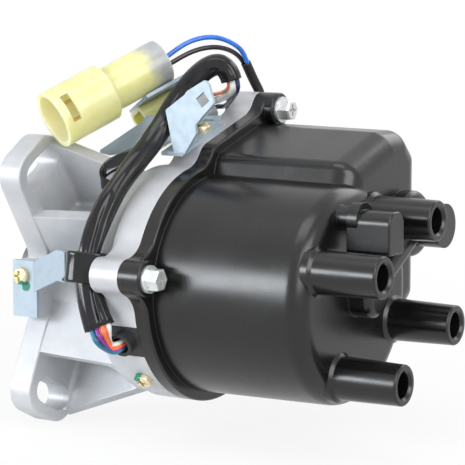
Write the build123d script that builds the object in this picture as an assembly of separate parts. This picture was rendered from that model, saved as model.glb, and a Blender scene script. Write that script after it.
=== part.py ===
from build123d import *
import math
import os

os.makedirs("parts", exist_ok=True)

# An ignition distributor with its coil inside, for a four-cylinder engine.
# The shaft lies along X. The origin is on the shaft, in the flange's mating face,
# and X runs from the engine towards the plug towers. Z is up, lengths in millimetres.

# Overall sizes
joint_x = 70.0
cap_face_x = 143.0
tower_length = 28.0
spigot_length = 8.0
flange_thickness = 10.3
slot_radius = 55.6
tower_circle_radius = 33.0
cap_radius = 44.8
cap_wall = 3.0
rim_ledge = 3.9

# Angles in degrees, measured about the shaft from +Y towards +Z
ear_angles = (123.0, 243.0, 3.0)
tower_angles = (66.3, 336.3, 246.3, 156.3)
vent_angle = 111.0

# Fits and overruns
running_gap = 0.05
seat_gap = 0.05
hole_gap = 0.1
soft_gap = 0.3
cut_overrun = 1.0

# Mounting flange and body casting
hub_radius = 28.0
ear_root_radius = 17.5
ear_tip_radius = 10.3
slot_width = 10.6
slot_travel_degrees = 11.5
neck_radius = 25.0
neck_end_x = 22.0
bowl_back_x = 46.0
bowl_radius = 47.4
bowl_round = 4.0
bowl_wall = 4.0
bowl_floor_x = 50.0
rim_depth = 13.0
gusset_thickness = 5.0
gusset_high_radius = 60.0
gusset_low_radius = 42.0
pocket_floor_radius = 28.0
pocket_floor_rise = 0.73
pocket_round = 2.5
casting_round = 12.0
flange_edge_round = 0.8
rim_edge_round = 2.0
lug_radius = 7.2
lug_depth = 13.5
spigot_radius = 17.0
ring_section = 2.6
ring_groove_x = -6.0
through_bore_radius = 10.0
pad_front_y = -34.0
pad_top_z = 8.0
pad_bottom_z = -15.6

# Cap screws, at the three lugs
cap_screw_places = ((44.6, 69.0), (-52.7, 8.3), (38.5, -37.5))
cap_screw_radius = 2.5
cap_screw_reach = 23.0
cap_lug_height = 10.0
washer_radius = 5.5
washer_thickness = 1.2
hex_across_flats = 8.0
hex_height = 4.8
screw_recess_width = 1.1
screw_recess_reach = 2.3
screw_recess_depth = 1.6

# Coil chamber of the cap, as a polygon around the shaft
chamber_near_y = 1.0
chamber_near_z = 52.5
chamber_crest_y = 33.0
chamber_crest_z = 63.2
chamber_corner_y = 48.0
chamber_far_y = 58.5
chamber_corner_z = 53.0
chamber_low_z = -8.0
chamber_foot_y = 34.0
chamber_foot_z = -27.0
chamber_inner_y = -6.0
chamber_inner_z = 30.0
chamber_corner_round = 6.0
chamber_face_x = 140.0
chamber_front_round = 10.0
cap_front_round = 8.0
cap_draft = 1.0
cap_ring_thickness = 6.3
cap_ring_round = 1.0
cap_lug_round = 0.8
lobe_depth = 13.0

# Towers, coil post and centre hub of the cap
tower_root_radius = 8.6
tower_tip_radius = 8.05
tower_flare = 1.3
tower_tip_round = 0.8
socket_radius = 5.0
socket_depth = 13.0
socket_chamfer = 1.0
post_y = 41.5
post_z = 24.8
post_radius = 9.0
post_top_x = 160.0
post_base_radius = 13.5
post_base_top_x = 147.5
centre_hub_radius = 8.0
centre_hub_top_x = 152.5
rib_width = 8.0
rib_top_x = 151.0
rib_round = 3.0
vent_radius = 34.5
vent_stem_radius = 5.0
vent_stem_top_x = 151.0
vent_bore_radius = 2.2
hood_width = 12.0
hood_height = 16.5
hood_back_x = 148.0
hood_front_x = 166.5
hood_wall = 1.6
hood_drop = 4.6

# High-tension contacts
terminal_radius = 2.4
terminal_inner_x = 97.0
terminal_cup_radius = 4.0
terminal_cup_height = 7.0
brush_radius = 2.5
brush_length = 13.0
brush_tip_x = 112.0
brush_boss_radius = 5.2
brush_boss_start_x = 118.0
brush_travel = 1.5
spring_wire = 0.5
spring_turns = 6
spring_length = 8.0

# Shaft and drive
shaft_radius = 6.0
shaft_end_x = -17.0
shaft_front_x = 92.0
coupling_radius = 11.5
coupling_length = 8.0
coupling_gap = 1.0
dog_height = 3.5
dog_width = 9.0
dog_offset = 1.6
pin_radius = 2.0
pin_retainer_wire = 1.0
bushing_start_x = -7.0
bushing_length = 12.0
seal_radius = 12.0
seal_length = 6.0
seal_start_x = 6.0

# Front ball bearing
bearing_outer_radius = 16.0
bearing_width = 10.0
bearing_ball_radius = 3.0
bearing_race_thickness = 3.2
bearing_ball_count = 9
cage_thickness = 1.2
bearing_shoulder_radius = 13.0
retainer_radius = 21.0
retainer_thickness = 1.5
small_screw_radius = 2.0
small_screw_head_radius = 3.6
small_screw_head_height = 2.6
small_screw_reach = 6.0
retainer_screw_circle = 18.2

# Signal wheels and pickups inside the bowl
crank_wheel_radius = 24.0
crank_wheel_teeth = 24
crank_wheel_thickness = 2.5
crank_wheel_x = 54.0
timing_wheel_radius = 24.0
timing_wheel_teeth = 4
timing_wheel_x = 59.0
cylinder_wheel_x = 64.0
tooth_depth = 3.0
tooth_width = 2.2
wheel_hub_radius = 9.0
wheel_rim_radius = 18.0
pickup_gap = 0.8
pickup_height = 9.0
pickup_width = 14.0
pickup_thickness = 4.0
pickup_angles = (150.0, 30.0, 195.0)
igniter_width = 34.0
igniter_height = 8.5
igniter_length = 15.0
igniter_drop = 29.5
cover_thickness = 1.6
cover_hole_radius = 9.0

# Rotor
rotor_skirt_radius = 11.0
rotor_skirt_x = 76.0
rotor_arm_x = 96.0
rotor_arm_thickness = 6.0
rotor_arm_width = 15.0
rotor_arm_reach = 26.5
rotor_tail_reach = 15.0
rotor_top_x = 109.0
rotor_blade_thickness = 1.2
rotor_blade_width = 7.0
rotor_blade_gap = 0.9
rotor_rest_angle = 66.3

# Coil in the chamber
coil_centre_y = 44.0
coil_centre_z = 27.0
coil_width = 18.0
coil_height = 44.0
coil_top_x = 120.0
core_bar_height = 12.0
core_width = 20.5
coil_tower_radius = 6.0
coil_tower_top_x = 133.0
coil_contact_radius = 2.2

# Side bracket for the harness
bracket_sheet = 1.5
bracket_plate_back_x = -1.6
bracket_plate_front_x = 10.9
bracket_arm_length = 21.0
bracket_arm_rise = 7.0
bracket_arm_depth = 12.5
bracket_screw_x = 3.4
bracket_screw_z = 1.6
bracket_arm_swing = 24.0
strap_thickness = 1.3
strap_seat = 7.0

# Top bracket for the connectors
foot_start_x = 57.5
foot_end_x = 68.0
foot_far_share = 0.62
blade_y = -11.5
blade_start_x = 59.4
blade_start_z = 53.0
blade_width = 23.6
blade_height = 30.5
blade_shares = (
    (0.0, 0.59), (0.40, 0.80), (0.45, 0.85), (0.81, 1.0), (0.89, 0.95), (1.0, 0.70),
    (0.75, 0.51), (0.62, 0.40), (0.635, 0.29), (0.38, 0.0), (0.18, 0.0),
)
blade_window = 4.6
blade_window_share = (0.77, 0.74)
blade_window_turn = -38.0
sheet_corner_round = 0.8
wing_y = 0.0
wing_start_x = 16.0
wing_start_z = 50.0
wing_length = 44.0
wing_height = 17.4
wing_shares = (
    (0.0, 0.07), (0.155, 0.0), (0.77, 0.29), (0.90, 0.45), (1.0, 0.45),
    (1.0, 0.69), (0.707, 1.0), (0.573, 0.99), (0.516, 0.83),
)
cradle_width = 12.0
cradle_lap = 14.0
cradle_reach = 11.0
link_start_x = 51.0
link_start_z = 58.6
link_near_y = 21.0
link_width = 6.0
link_lap = 4.0
top_screw_x = 62.5
top_screw_share = 0.36

# Connectors, both along one slanted direction
connector_direction = (0.44, 0.79, 0.43)
main_connector_centre = (29.4, -10.0, 78.0)
main_pin_spacing = 8.0
main_pin_width = 6.3
main_pin_thickness = 0.8
main_connector_length = 54.0
main_mouth_radius = 12.2
main_mouth_length = 27.0
main_rear_radius = 9.6
main_wall = 1.8
main_seal_length = 3.0
latch_window_length = 4.0
latch_window_width = 12.0
latch_window_inset = 3.5
second_connector_centre = (40.4, 22.6, 66.8)
second_connector_length = 30.0
second_connector_width = 20.0
second_connector_height = 15.0
second_connector_round = 4.0
second_wall = 1.8
second_seal_length = 3.0
view_direction = (0.755, -0.583, 0.302)

# Harness and leads
sleeve_radius = 3.9
lead_sleeve_radius = 2.2
wire_radius = 1.05
harness_wire_radius = 0.95
upper_strap_width = 11.0
upper_strap_tail_end = (44.0, -3.5, 55.0)
grommet_radius = 5.0
grommet_bore = 3.6
grommet_length = 3.2
grommet_angle = 203.0
grommet_span_degrees = 16.0
grommet_x = 62.5
grommet_start_x = 57.0
ground_screw_angle = 227.0
ground_screw_x = 63.5
ground_screw_reach = 3.0
lead_hole_depth = 18.0
sleeve_route = (
    (57.6, -54.5, -12.4),
    (49.6, -53.6, 3.5),
    (50.2, -51.4, 18.5),
    (52.6, -42.0, 36.0),
    (54.6, -26.2, 50.2),
    (55.0, -11.0, 60.8),
    (58.9, -1.2, 75.4),
    (66.2, 3.0, 83.9),
    (73.0, 6.6, 88.9),
    (80.0, 9.4, 88.0),
)
lead_sleeve_route = (
    (60.8, 47.0, 88.5),
    (62.0, 50.8, 81.5),
    (64.6, 54.4, 73.6),
    (65.3, 55.0, 59.5),
)
blue_route = (
    (42.6, 11.6, 90.6),
    (46.6, 16.9, 95.6),
    (50.8, 23.0, 98.9),
    (55.2, 29.6, 99.9),
    (58.6, 36.4, 98.2),
    (61.6, 42.4, 94.4),
    (61.8, 46.4, 88.9),
)
black_route = (
    (44.3, 12.4, 88.2),
    (48.6, 17.6, 92.2),
    (52.8, 23.8, 94.9),
    (56.6, 30.2, 95.6),
    (58.4, 36.8, 94.4),
    (59.0, 42.8, 92.2),
    (59.7, 47.0, 88.9),
)


# The cords

def bend_radii(points):
    """The largest tangent arcs that the runs of a route allow."""
    radii = []
    for before, corner, after in zip(points, points[1:], points[2:]):
        run_in = Vector(*corner) - Vector(*before)
        run_out = Vector(*after) - Vector(*corner)
        half_turn = math.radians(run_in.get_angle(run_out)) / 2
        shorter = min(run_in.length, run_out.length)
        radii.append(bend_share * shorter / math.tan(half_turn))
    return radii


bend_share = 0.45


def cord(points, radius):
    """A round cord along straight runs joined by tangent arcs."""
    radii = bend_radii(points)
    print("bend radii", [round(value, 1) for value in radii])
    path = FilletPolyline(*points, radius=radii)
    start = Vector(*points[0])
    profile = Plane(origin=start, z_dir=Vector(*points[1]) - start) * Circle(radius)
    return sweep(profile, path)


# Shapes along the shaft

def section(x, y=0.0, z=0.0):
    """A location whose sketch plane faces along the shaft."""
    return Plane.YZ.offset(x) * Pos(y, z)


def rod(radius, x_start, x_end, y=0.0, z=0.0):
    """A round bar along the shaft direction."""
    return extrude(section(x_start, y, z) * Circle(radius), x_end - x_start)


def turned(points):
    """A solid turned about the shaft from points of station and radius."""
    return revolve(make_face(Polyline(*points, close=True)), Axis.X, 360)


def around(radius, degrees):
    """The place on a circle about the shaft."""
    angle = math.radians(degrees)
    return radius * math.cos(angle), radius * math.sin(angle)


def turn_about_shaft(degrees):
    return Rot(degrees, 0, 0)


def unit(vector):
    length = math.sqrt(sum(v * v for v in vector))
    return tuple(v / length for v in vector)


# Outlines shared by the housing and the cap

def chamber_points():
    return [
        (chamber_inner_y, chamber_inner_z),
        (chamber_near_y, chamber_near_z),
        (chamber_crest_y, chamber_crest_z),
        (chamber_corner_y, chamber_crest_z),
        (chamber_far_y, chamber_corner_z),
        (chamber_far_y, chamber_low_z),
        (chamber_foot_y, chamber_foot_z),
    ]


def chamber_outline(growth=0.0):
    """The coil chamber's rounded outline, grown outwards."""
    face = make_face(Polyline(*chamber_points(), close=True))
    face = fillet(face.vertices().sort_by(Axis.Y)[1:], chamber_corner_round)
    if growth == 0.0:
        return face
    return offset(face, growth, kind=Kind.ARC)


def lug_sketch(place):
    """A screw lug, drawn out from the rim."""
    y, z = place
    reach = math.hypot(y, z)
    inner = lug_radius / reach
    root = Pos(y - y * inner, z - z * inner) * Circle(lug_radius)
    tip = Pos(y, z) * Circle(lug_radius)
    return make_hull([*root.edges(), *tip.edges()])


def soft_corners(outline):
    """The outline with its inward corners filled by arcs, as in a casting."""
    return offset(offset(outline, casting_round, kind=Kind.ARC), -casting_round, kind=Kind.ARC)


def rim_outline():
    """The outline where the cap meets the housing."""
    outline = Circle(cap_radius + rim_ledge) + chamber_outline(rim_ledge)
    for place in cap_screw_places:
        outline += lug_sketch(place)
    return soft_corners(outline)


# Screws

def hex_flange_screw(reach):
    """A hex screw with a washer face and a cross recess, tip towards the engine."""
    shank = rod(cap_screw_radius, -reach, 0.0)
    washer = rod(washer_radius, 0.0, washer_thickness)
    top = washer_thickness + hex_height
    head = extrude(
        section(washer_thickness) * RegularPolygon(hex_across_flats / 2, 6, major_radius=False),
        hex_height,
    )
    head = chamfer(head.faces().sort_by(Axis.X)[-1].edges(), hex_height * head_chamfer_share)
    cross = Rectangle(screw_recess_width, 2 * screw_recess_reach)
    cross += Rectangle(2 * screw_recess_reach, screw_recess_width)
    recess = extrude(section(top - screw_recess_depth) * cross, screw_recess_depth + cut_overrun)
    return shank + washer + head - recess


head_chamfer_share = 0.12


def pan_screw(reach):
    """A small pan-head screw with a cross recess, tip towards the engine."""
    shank = rod(small_screw_radius, -reach, 0.0)
    head = rod(small_screw_head_radius, 0.0, small_screw_head_height)
    edge = head.faces().sort_by(Axis.X)[-1].edges()
    head = fillet(edge, small_screw_head_height * pan_round_share)
    cross = Rectangle(screw_recess_width, 2 * screw_recess_reach)
    cross += Rectangle(2 * screw_recess_reach, screw_recess_width)
    start = small_screw_head_height - screw_recess_depth
    recess = extrude(section(start) * cross, screw_recess_depth + cut_overrun)
    return shank + head - recess


pan_round_share = 0.45


# Body casting

def ear_slot():
    half = slot_travel_degrees / 2
    return SlotArc(CenterArc((0, 0), slot_radius, -half, slot_travel_degrees), slot_width)


def ear_sketch():
    half = slot_travel_degrees / 2
    edges = [*Circle(ear_root_radius).edges()]
    for angle in (-half, half):
        y, z = around(slot_radius, angle)
        edges += (Pos(y, z) * Circle(ear_tip_radius)).edges()
    return make_hull(edges)


def ear_half_width():
    return ear_tip_radius + slot_radius * math.radians(slot_travel_degrees) / 2


def half_web(side, tip_radius):
    """Half of the wedge between an ear and the back of the bowl, in the ear's own frame."""
    inner = ear_root_radius
    end_x = bowl_back_x + bowl_round
    outline = make_face(
        Polyline(
            (flange_thickness - cut_overrun, inner),
            (flange_thickness - cut_overrun, tip_radius),
            (flange_thickness, tip_radius),
            (end_x, bowl_radius - bowl_round),
            (end_x, inner),
            close=True,
        )
    )
    return extrude(outline, side * ear_half_width())


def web_pocket():
    """The rounded pocket that leaves a web along each edge of an ear."""
    top = 2 * slot_radius
    rise_x = neck_end_x
    end_x = rise_x + (top - pocket_floor_radius) / pocket_floor_rise
    outline = make_face(
        Polyline(
            (flange_thickness, pocket_floor_radius),
            (rise_x, pocket_floor_radius),
            (end_x, top),
            (flange_thickness, top),
            close=True,
        )
    )
    pocket = extrude(outline, ear_half_width() - gusset_thickness, both=True)
    far = pocket.faces().sort_by(Axis.Y)[-1].edges()
    return fillet([edge for edge in pocket.edges() if edge not in far], pocket_round)


def make_housing():
    flange = Circle(hub_radius)
    for angle in ear_angles:
        flange += Rot(0, 0, angle) * ear_sketch()
    body = extrude(section(0.0) * soft_corners(flange), flange_thickness)
    body = rounded_front(body, flange_edge_round)
    body += turned(
        [
            (0.0, 0.0),
            (0.0, neck_radius),
            (neck_end_x, neck_radius),
            (bowl_back_x, bowl_radius - bowl_round),
            (bowl_back_x + bowl_round, bowl_radius),
            (joint_x, bowl_radius),
            (joint_x, 0.0),
        ]
    )
    body += rod(cap_radius + rim_ledge, joint_x - rim_depth, joint_x)
    lobe = extrude(section(joint_x - lobe_depth) * rim_outline(), lobe_depth)
    body += fillet(lobe.faces().sort_by(Axis.X)[0].edges(), rim_edge_round)
    pocket = web_pocket()
    for angle, sides in zip(ear_angles, ear_gussets):
        for side, tip in sides:
            body += turn_about_shaft(angle) * (half_web(side, tip) - pocket)
    for y, z in cap_screw_places:
        body += rod(lug_radius, joint_x - lug_depth, joint_x, y, z)
    body += rod(spigot_radius, -spigot_length, 0.0)
    pad_height = pad_top_z - pad_bottom_z
    pad = Box(flange_thickness, -pad_front_y, pad_height, align=(Align.MIN, Align.MIN, Align.MIN))
    body += Pos(0, pad_front_y, pad_bottom_z) * pad

    body -= rod(bowl_radius - bowl_wall, bowl_floor_x, joint_x + cut_overrun)
    pocket = chamber_outline(-cap_wall)
    pocket_depth = lobe_depth - bowl_wall
    body -= extrude(section(joint_x - pocket_depth) * pocket, pocket_depth + cut_overrun)
    body -= rod(bearing_outer_radius + seat_gap, bowl_floor_x - bearing_width, bowl_floor_x + cut_overrun)
    body -= rod(through_bore_radius, -spigot_length - cut_overrun, bowl_floor_x)
    body -= rod(seal_radius + seat_gap, seal_start_x, bowl_floor_x - bearing_width + cut_overrun)
    outer = spigot_radius + cut_overrun
    groove = rod(outer, ring_groove_x, ring_groove_x + ring_section)
    groove -= rod(spigot_radius - ring_section * ring_groove_share, ring_groove_x, ring_groove_x + ring_section)
    body -= groove
    for angle in ear_angles:
        slot = Rot(0, 0, angle) * ear_slot()
        body -= extrude(section(-cut_overrun) * slot, flange_thickness + 2 * cut_overrun)
    for y, z in cap_screw_places:
        body -= rod(cap_screw_radius + hole_gap, joint_x - cap_screw_depth, joint_x + cut_overrun, y, z)
    for degrees in retainer_screw_degrees:
        y, z = around(retainer_screw_circle, degrees)
        start = bowl_floor_x - small_screw_reach
        body -= rod(small_screw_radius + hole_gap, start, bowl_floor_x + cut_overrun, y, z)
    side_hole = Cylinder(small_screw_radius + hole_gap, small_screw_reach)
    side_hole = Rot(90, 0, 0) * side_hole
    body -= Pos(bracket_screw_x, pad_front_y + small_screw_reach / 2, bracket_screw_z) * side_hole
    body -= top_screw_location() * Pos(0, 0, -small_screw_reach / 2) * Cylinder(
        small_screw_radius + hole_gap, small_screw_reach
    )
    body -= make_cap_seal()
    body -= grommet_block(seat_gap)
    ground_hole = rod(small_screw_radius + hole_gap, -ground_screw_reach, cut_overrun)
    body -= ground_screw_location() * ground_hole
    body -= Pos(*lead_sleeve_route[-1]) * Cylinder(lead_sleeve_radius + 2 * soft_gap, lead_hole_depth)
    return body


ear_gussets = (
    ((-1, gusset_high_radius), (1, gusset_low_radius)),
    ((1, gusset_high_radius), (-1, gusset_low_radius)),
    ((1, gusset_high_radius), (-1, gusset_high_radius)),
)
ring_groove_share = 0.7
lobe_back_x = joint_x - lobe_depth
retainer_screw_degrees = (20.0, 200.0)
cap_screw_depth = cap_screw_reach - cap_lug_height


# The roof of the housing's coil lobe, where the top bracket sits

def roof_direction():
    slope = (chamber_crest_y - chamber_near_y, chamber_crest_z - chamber_near_z)
    length = math.hypot(*slope)
    return slope[0] / length, slope[1] / length


def roof_place(share):
    """The point on the lobe's roof at a share of its slope."""
    along_y, along_z = roof_direction()
    y = chamber_near_y + share * (chamber_crest_y - chamber_near_y)
    z = chamber_near_z + share * (chamber_crest_z - chamber_near_z)
    return y - rim_ledge * along_z, z + rim_ledge * along_y


def roof_plane(x, share):
    """A plane on the roof: its x runs along the shaft, its normal points out."""
    along_y, along_z = roof_direction()
    y, z = roof_place(share)
    return Plane(origin=(x, y, z), x_dir=(1, 0, 0), z_dir=(0, -along_z, along_y))


def top_screw_location():
    return roof_plane(top_screw_x, top_screw_share)


# Cap

def rounded_front(shape, radius):
    return fillet(shape.faces().sort_by(Axis.X)[-1].edges(), radius)


def chamber_block(growth, start_x, end_x, front_round):
    block = extrude(section(start_x) * chamber_outline(growth), end_x - start_x, taper=cap_draft)
    return rounded_front(block, front_round)


def drum(radius, start_x, end_x, front_round):
    narrow = radius - (end_x - start_x) * math.tan(math.radians(cap_draft))
    body = turned([(start_x, 0.0), (start_x, radius), (end_x, narrow), (end_x, 0.0)])
    return rounded_front(body, front_round)


def make_cap():
    shell = drum(cap_radius, joint_x, cap_face_x, cap_front_round)
    shell += chamber_block(0.0, joint_x, chamber_face_x, chamber_front_round)
    ring = extrude(section(joint_x) * rim_outline(), cap_ring_thickness)
    shell += rounded_front(ring, cap_ring_round)
    for y, z in cap_screw_places:
        lug = rod(lug_radius, joint_x, joint_x + cap_lug_height, y, z)
        shell += rounded_front(lug, cap_lug_round)
    inside = drum(cap_radius - cap_wall, joint_x - cut_overrun, cap_face_x - cap_wall, cap_front_round - cap_wall)
    inside += chamber_block(
        -cap_wall, joint_x - cut_overrun, chamber_face_x - cap_wall, chamber_front_round - cap_wall
    )
    shell -= inside
    root_x = cap_face_x - cap_wall
    for degrees in tower_angles:
        y, z = around(tower_circle_radius, degrees)
        height = cap_face_x + tower_length - root_x
        tower = turned(
            [
                (0.0, 0.0),
                (0.0, tower_root_radius + tower_flare),
                (cap_wall, tower_root_radius + tower_flare),
                (cap_wall + tower_flare, tower_root_radius),
                (height, tower_tip_radius),
                (height, 0.0),
            ]
        )
        shell += Pos(root_x, y, z) * rounded_front(tower, tower_tip_round)
        shell += rod(terminal_cup_radius, cap_face_x - terminal_boss_depth, cap_face_x, y, z)
    post_root_x = chamber_face_x - cap_wall / 2
    shell += rod(post_radius, post_root_x, post_top_x, post_y, post_z)
    base = rod(post_base_radius, post_root_x, post_base_top_x, post_y, post_z)
    shell += rounded_front(base, rib_round)
    hub = rod(centre_hub_radius, cap_face_x - cap_wall, centre_hub_top_x)
    shell += rounded_front(hub, rib_round)
    shell += rod(brush_boss_radius, brush_boss_start_x, cap_face_x)
    reach = math.hypot(post_y, post_z)
    rib = Pos(cap_face_x - cap_wall / 2, 0, -rib_width / 2) * Box(
        rib_top_x - cap_face_x + cap_wall / 2, reach, rib_width, align=(Align.MIN, Align.MIN, Align.MIN)
    )
    top_edges = rib.faces().sort_by(Axis.X)[-1].edges().filter_by(Axis.Y)
    rib = fillet(top_edges, rib_round)
    shell += turn_about_shaft(math.degrees(math.atan2(post_z, post_y))) * rib
    vent_y, vent_z = around(vent_radius, vent_angle)
    shell += rod(vent_stem_radius, cap_face_x - cap_wall / 2, vent_stem_top_x, vent_y, vent_z)

    for degrees in tower_angles:
        y, z = around(tower_circle_radius, degrees)
        tip_x = cap_face_x + tower_length
        shell -= rod(socket_radius, tip_x - socket_depth, tip_x + cut_overrun, y, z)
        flare = Pos(tip_x, y, z) * turned(
            [
                (-socket_chamfer, 0.0),
                (-socket_chamfer, socket_radius),
                (cut_overrun, socket_radius + socket_chamfer + cut_overrun),
                (cut_overrun, 0.0),
            ]
        )
        shell -= flare
        well_x = tip_x - socket_depth - terminal_cup_height
        shell -= rod(terminal_cup_radius + seat_gap, well_x, tip_x, y, z)
        shell -= rod(terminal_radius + seat_gap, terminal_inner_x, well_x + cut_overrun, y, z)
    shell -= rod(brush_radius + running_gap, brush_boss_start_x - cut_overrun, brush_bore_end_x)
    shell -= rod(vent_bore_radius, cap_face_x - cap_wall - cut_overrun, vent_stem_top_x + cut_overrun, vent_y, vent_z)
    shell -= rod(coil_tower_radius + hole_gap, coil_tower_root_x, coil_tower_top_x + soft_gap, post_y, post_z)
    for y, z in cap_screw_places:
        shell -= rod(cap_screw_radius + hole_gap, joint_x - cut_overrun, joint_x + cap_lug_height + cut_overrun, y, z)
    return shell


terminal_boss_depth = 12.0
brush_bore_end_x = brush_tip_x + brush_length + spring_length + brush_travel
coil_start_x = joint_x - lobe_depth + bowl_wall
coil_length = coil_top_x - coil_start_x
coil_tower_root_x = coil_top_x


def rim_band(inset):
    """The rim's outline without its lugs, drawn in from the edge."""
    return Circle(cap_radius + rim_ledge - inset) + chamber_outline(rim_ledge - inset)


def make_cap_seal():
    """The rubber cord that lies in a groove of the rim."""
    band = rim_band(seal_inset) - rim_band(seal_inset + seal_cord)
    return extrude(section(joint_x - seal_cord) * band, seal_cord)


seal_cord = 1.8
seal_inset = 1.4


def make_vent_hood():
    """A small D-shaped hood that sits over the vent stem, open below."""
    y, z = around(vent_radius, vent_angle)
    z -= hood_drop
    outline = Rectangle(hood_width, hood_height)
    outline = fillet(outline.vertices().sort_by(Axis.Y)[-2:], hood_width * hood_round_share)
    outline = fillet(outline.vertices().sort_by(Axis.Y)[:2], hood_wall)
    hood = extrude(section(hood_back_x, y, z) * outline, hood_front_x - hood_back_x)
    edges = hood.faces().sort_by(Axis.X)[-1].edges()
    hood = fillet(edges, hood_wall / 2)
    inside = Rectangle(hood_width - 2 * hood_wall, hood_height - 2 * hood_wall)
    depth = hood_front_x - hood_back_x - hood_wall
    hood -= extrude(section(hood_back_x - cut_overrun, y, z) * inside, depth + cut_overrun)
    stem_y, stem_z = around(vent_radius, vent_angle)
    collar_end = vent_stem_top_x + hood_wall
    collar = rod(vent_stem_radius + hood_wall, hood_back_x, collar_end, stem_y, stem_z)
    collar -= rod(vent_stem_radius + seat_gap, hood_back_x, vent_stem_top_x, stem_y, stem_z)
    collar -= rod(vent_bore_radius, hood_back_x, collar_end, stem_y, stem_z)
    return hood + collar - rod(
        vent_stem_radius + seat_gap, hood_back_x - cut_overrun, vent_stem_top_x, stem_y, stem_z
    )


hood_round_share = 0.42


# High-tension contacts

def make_tower_terminal(degrees):
    y, z = around(tower_circle_radius, degrees)
    bottom = cap_face_x + tower_length - socket_depth - terminal_cup_height
    pin = rod(terminal_radius, terminal_inner_x, bottom, y, z)
    cup = rod(terminal_cup_radius, bottom, bottom + terminal_cup_height, y, z)
    cup -= rod(terminal_cup_radius - spring_wire, bottom + spring_wire, bottom + terminal_cup_height + cut_overrun, y, z)
    return pin + cup


def make_brush():
    body = rod(brush_radius, brush_tip_x, brush_tip_x + brush_length)
    return fillet(body.faces().sort_by(Axis.X)[0].edges(), brush_radius * brush_tip_share)


brush_tip_share = 0.5


def make_brush_spring():
    """The coil spring behind the brush."""
    start_x = brush_tip_x + brush_length
    mean_radius = brush_radius - spring_wire
    pitch = (spring_length - spring_wire) / spring_turns
    path = Helix(pitch, pitch * spring_turns, mean_radius)
    path = Pos(start_x + spring_wire / 2, 0, 0) * Rot(0, 90, 0) * path
    profile = Plane(origin=path @ 0, z_dir=path % 0) * Circle(spring_wire / 2)
    return sweep(profile, path)


# Shaft group

def make_shaft():
    shaft = rod(shaft_radius, shaft_end_x, shaft_front_x)
    shaft = chamfer(shaft.edges().group_by(Axis.X)[0], shaft_radius * shaft_chamfer_share)
    flat = Box(
        shaft_front_x - rotor_skirt_x, shaft_radius, 2 * shaft_radius, align=(Align.MIN, Align.MIN, Align.CENTER)
    )
    cut = turn_about_shaft(rotor_rest_angle) * Pos(rotor_skirt_x, shaft_radius * shaft_flat_share, 0) * flat
    pin_x = shaft_end_x + coupling_length / 2
    pin_hole = Pos(pin_x, 0, 0) * Cylinder(pin_radius + seat_gap, 2 * coupling_radius)
    return shaft - cut - pin_hole


shaft_chamfer_share = 0.12
shaft_flat_share = 0.75


def make_coupling():
    """The drive dog: a collar with two offset tongues that enter the camshaft."""
    start_x = shaft_end_x
    end_x = start_x + coupling_length
    collar = rod(coupling_radius, start_x, end_x)
    disc = Circle(coupling_radius)
    lugs = (Pos(dog_offset, 0) * Rectangle(dog_width, 2 * coupling_radius)) & disc
    lugs -= Rectangle(2 * coupling_radius, 2 * coupling_radius * dog_gap_share)
    collar += extrude(section(start_x - dog_height) * lugs, dog_height)
    collar -= rod(shaft_radius + running_gap, start_x - cut_overrun, end_x + cut_overrun)
    groove = rod(coupling_radius + cut_overrun, pin_groove_x, pin_groove_x + pin_groove_width)
    groove -= rod(coupling_radius - pin_retainer_wire, pin_groove_x, pin_groove_x + pin_groove_width)
    collar -= groove
    pin_x = start_x + coupling_length / 2
    collar -= Pos(pin_x, 0, 0) * Cylinder(pin_radius + seat_gap, 2 * coupling_radius + cut_overrun)
    return collar


dog_gap_share = 0.5
pin_groove_width = 3.0
pin_groove_x = shaft_end_x + coupling_length / 2 - pin_groove_width / 2


def make_coupling_pin():
    pin_x = shaft_end_x + coupling_length / 2
    length = 2 * (coupling_radius - pin_retainer_wire) - 2 * pin_inset
    return Pos(pin_x, 0, 0) * Cylinder(pin_radius, length)


pin_inset = 0.3


def make_pin_retainer():
    outer = coupling_radius
    inner = coupling_radius - pin_retainer_wire
    start = pin_groove_x + seat_gap
    end = pin_groove_x + pin_groove_width - seat_gap
    ring = rod(outer, start, end) - rod(inner, start, end)
    gap = Box(pin_groove_width, coupling_radius, pin_groove_width, align=(Align.MIN, Align.MIN, Align.CENTER))
    return ring - Pos(start, 0, 0) * gap


def make_bushing():
    end_x = bushing_start_x + bushing_length
    ring = rod(through_bore_radius, bushing_start_x, end_x)
    return ring - rod(shaft_radius + running_gap, bushing_start_x, end_x)


def make_oil_seal():
    """A lip seal: a ring with a bevelled inner lip."""
    end_x = seal_start_x + seal_length
    lip = shaft_radius + running_gap
    waist = seal_radius - seal_wall
    return turned(
        [
            (seal_start_x, waist),
            (seal_start_x, seal_radius),
            (end_x, seal_radius),
            (end_x, lip + seal_wall),
            (end_x - seal_wall, lip + seal_wall),
            (seal_start_x + seal_wall, lip),
            (seal_start_x + seal_wall / 2, lip),
            (seal_start_x + seal_wall / 2, waist),
        ]
    )


seal_wall = 1.5


# Ball bearing

def bearing_pitch_radius():
    return (shaft_radius + bearing_outer_radius) / 2


def bearing_centre_x():
    return bowl_floor_x - bearing_width / 2


def ball_groove():
    ring = Pos(bearing_centre_x(), 0, 0) * Rot(0, 90, 0) * Torus(
        bearing_pitch_radius(), bearing_ball_radius + running_gap
    )
    return ring


def make_outer_race():
    start = bearing_centre_x() - bearing_width / 2
    end = start + bearing_width
    race = rod(bearing_outer_radius, start, end)
    race -= rod(bearing_outer_radius - bearing_race_thickness, start - cut_overrun, end + cut_overrun)
    return race - ball_groove()


def make_inner_race():
    start = bearing_centre_x() - bearing_width / 2
    end = start + bearing_width
    race = rod(shaft_radius + bearing_race_thickness, start, end)
    race -= rod(shaft_radius + running_gap / 5, start - cut_overrun, end + cut_overrun)
    return race - ball_groove()


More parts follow.
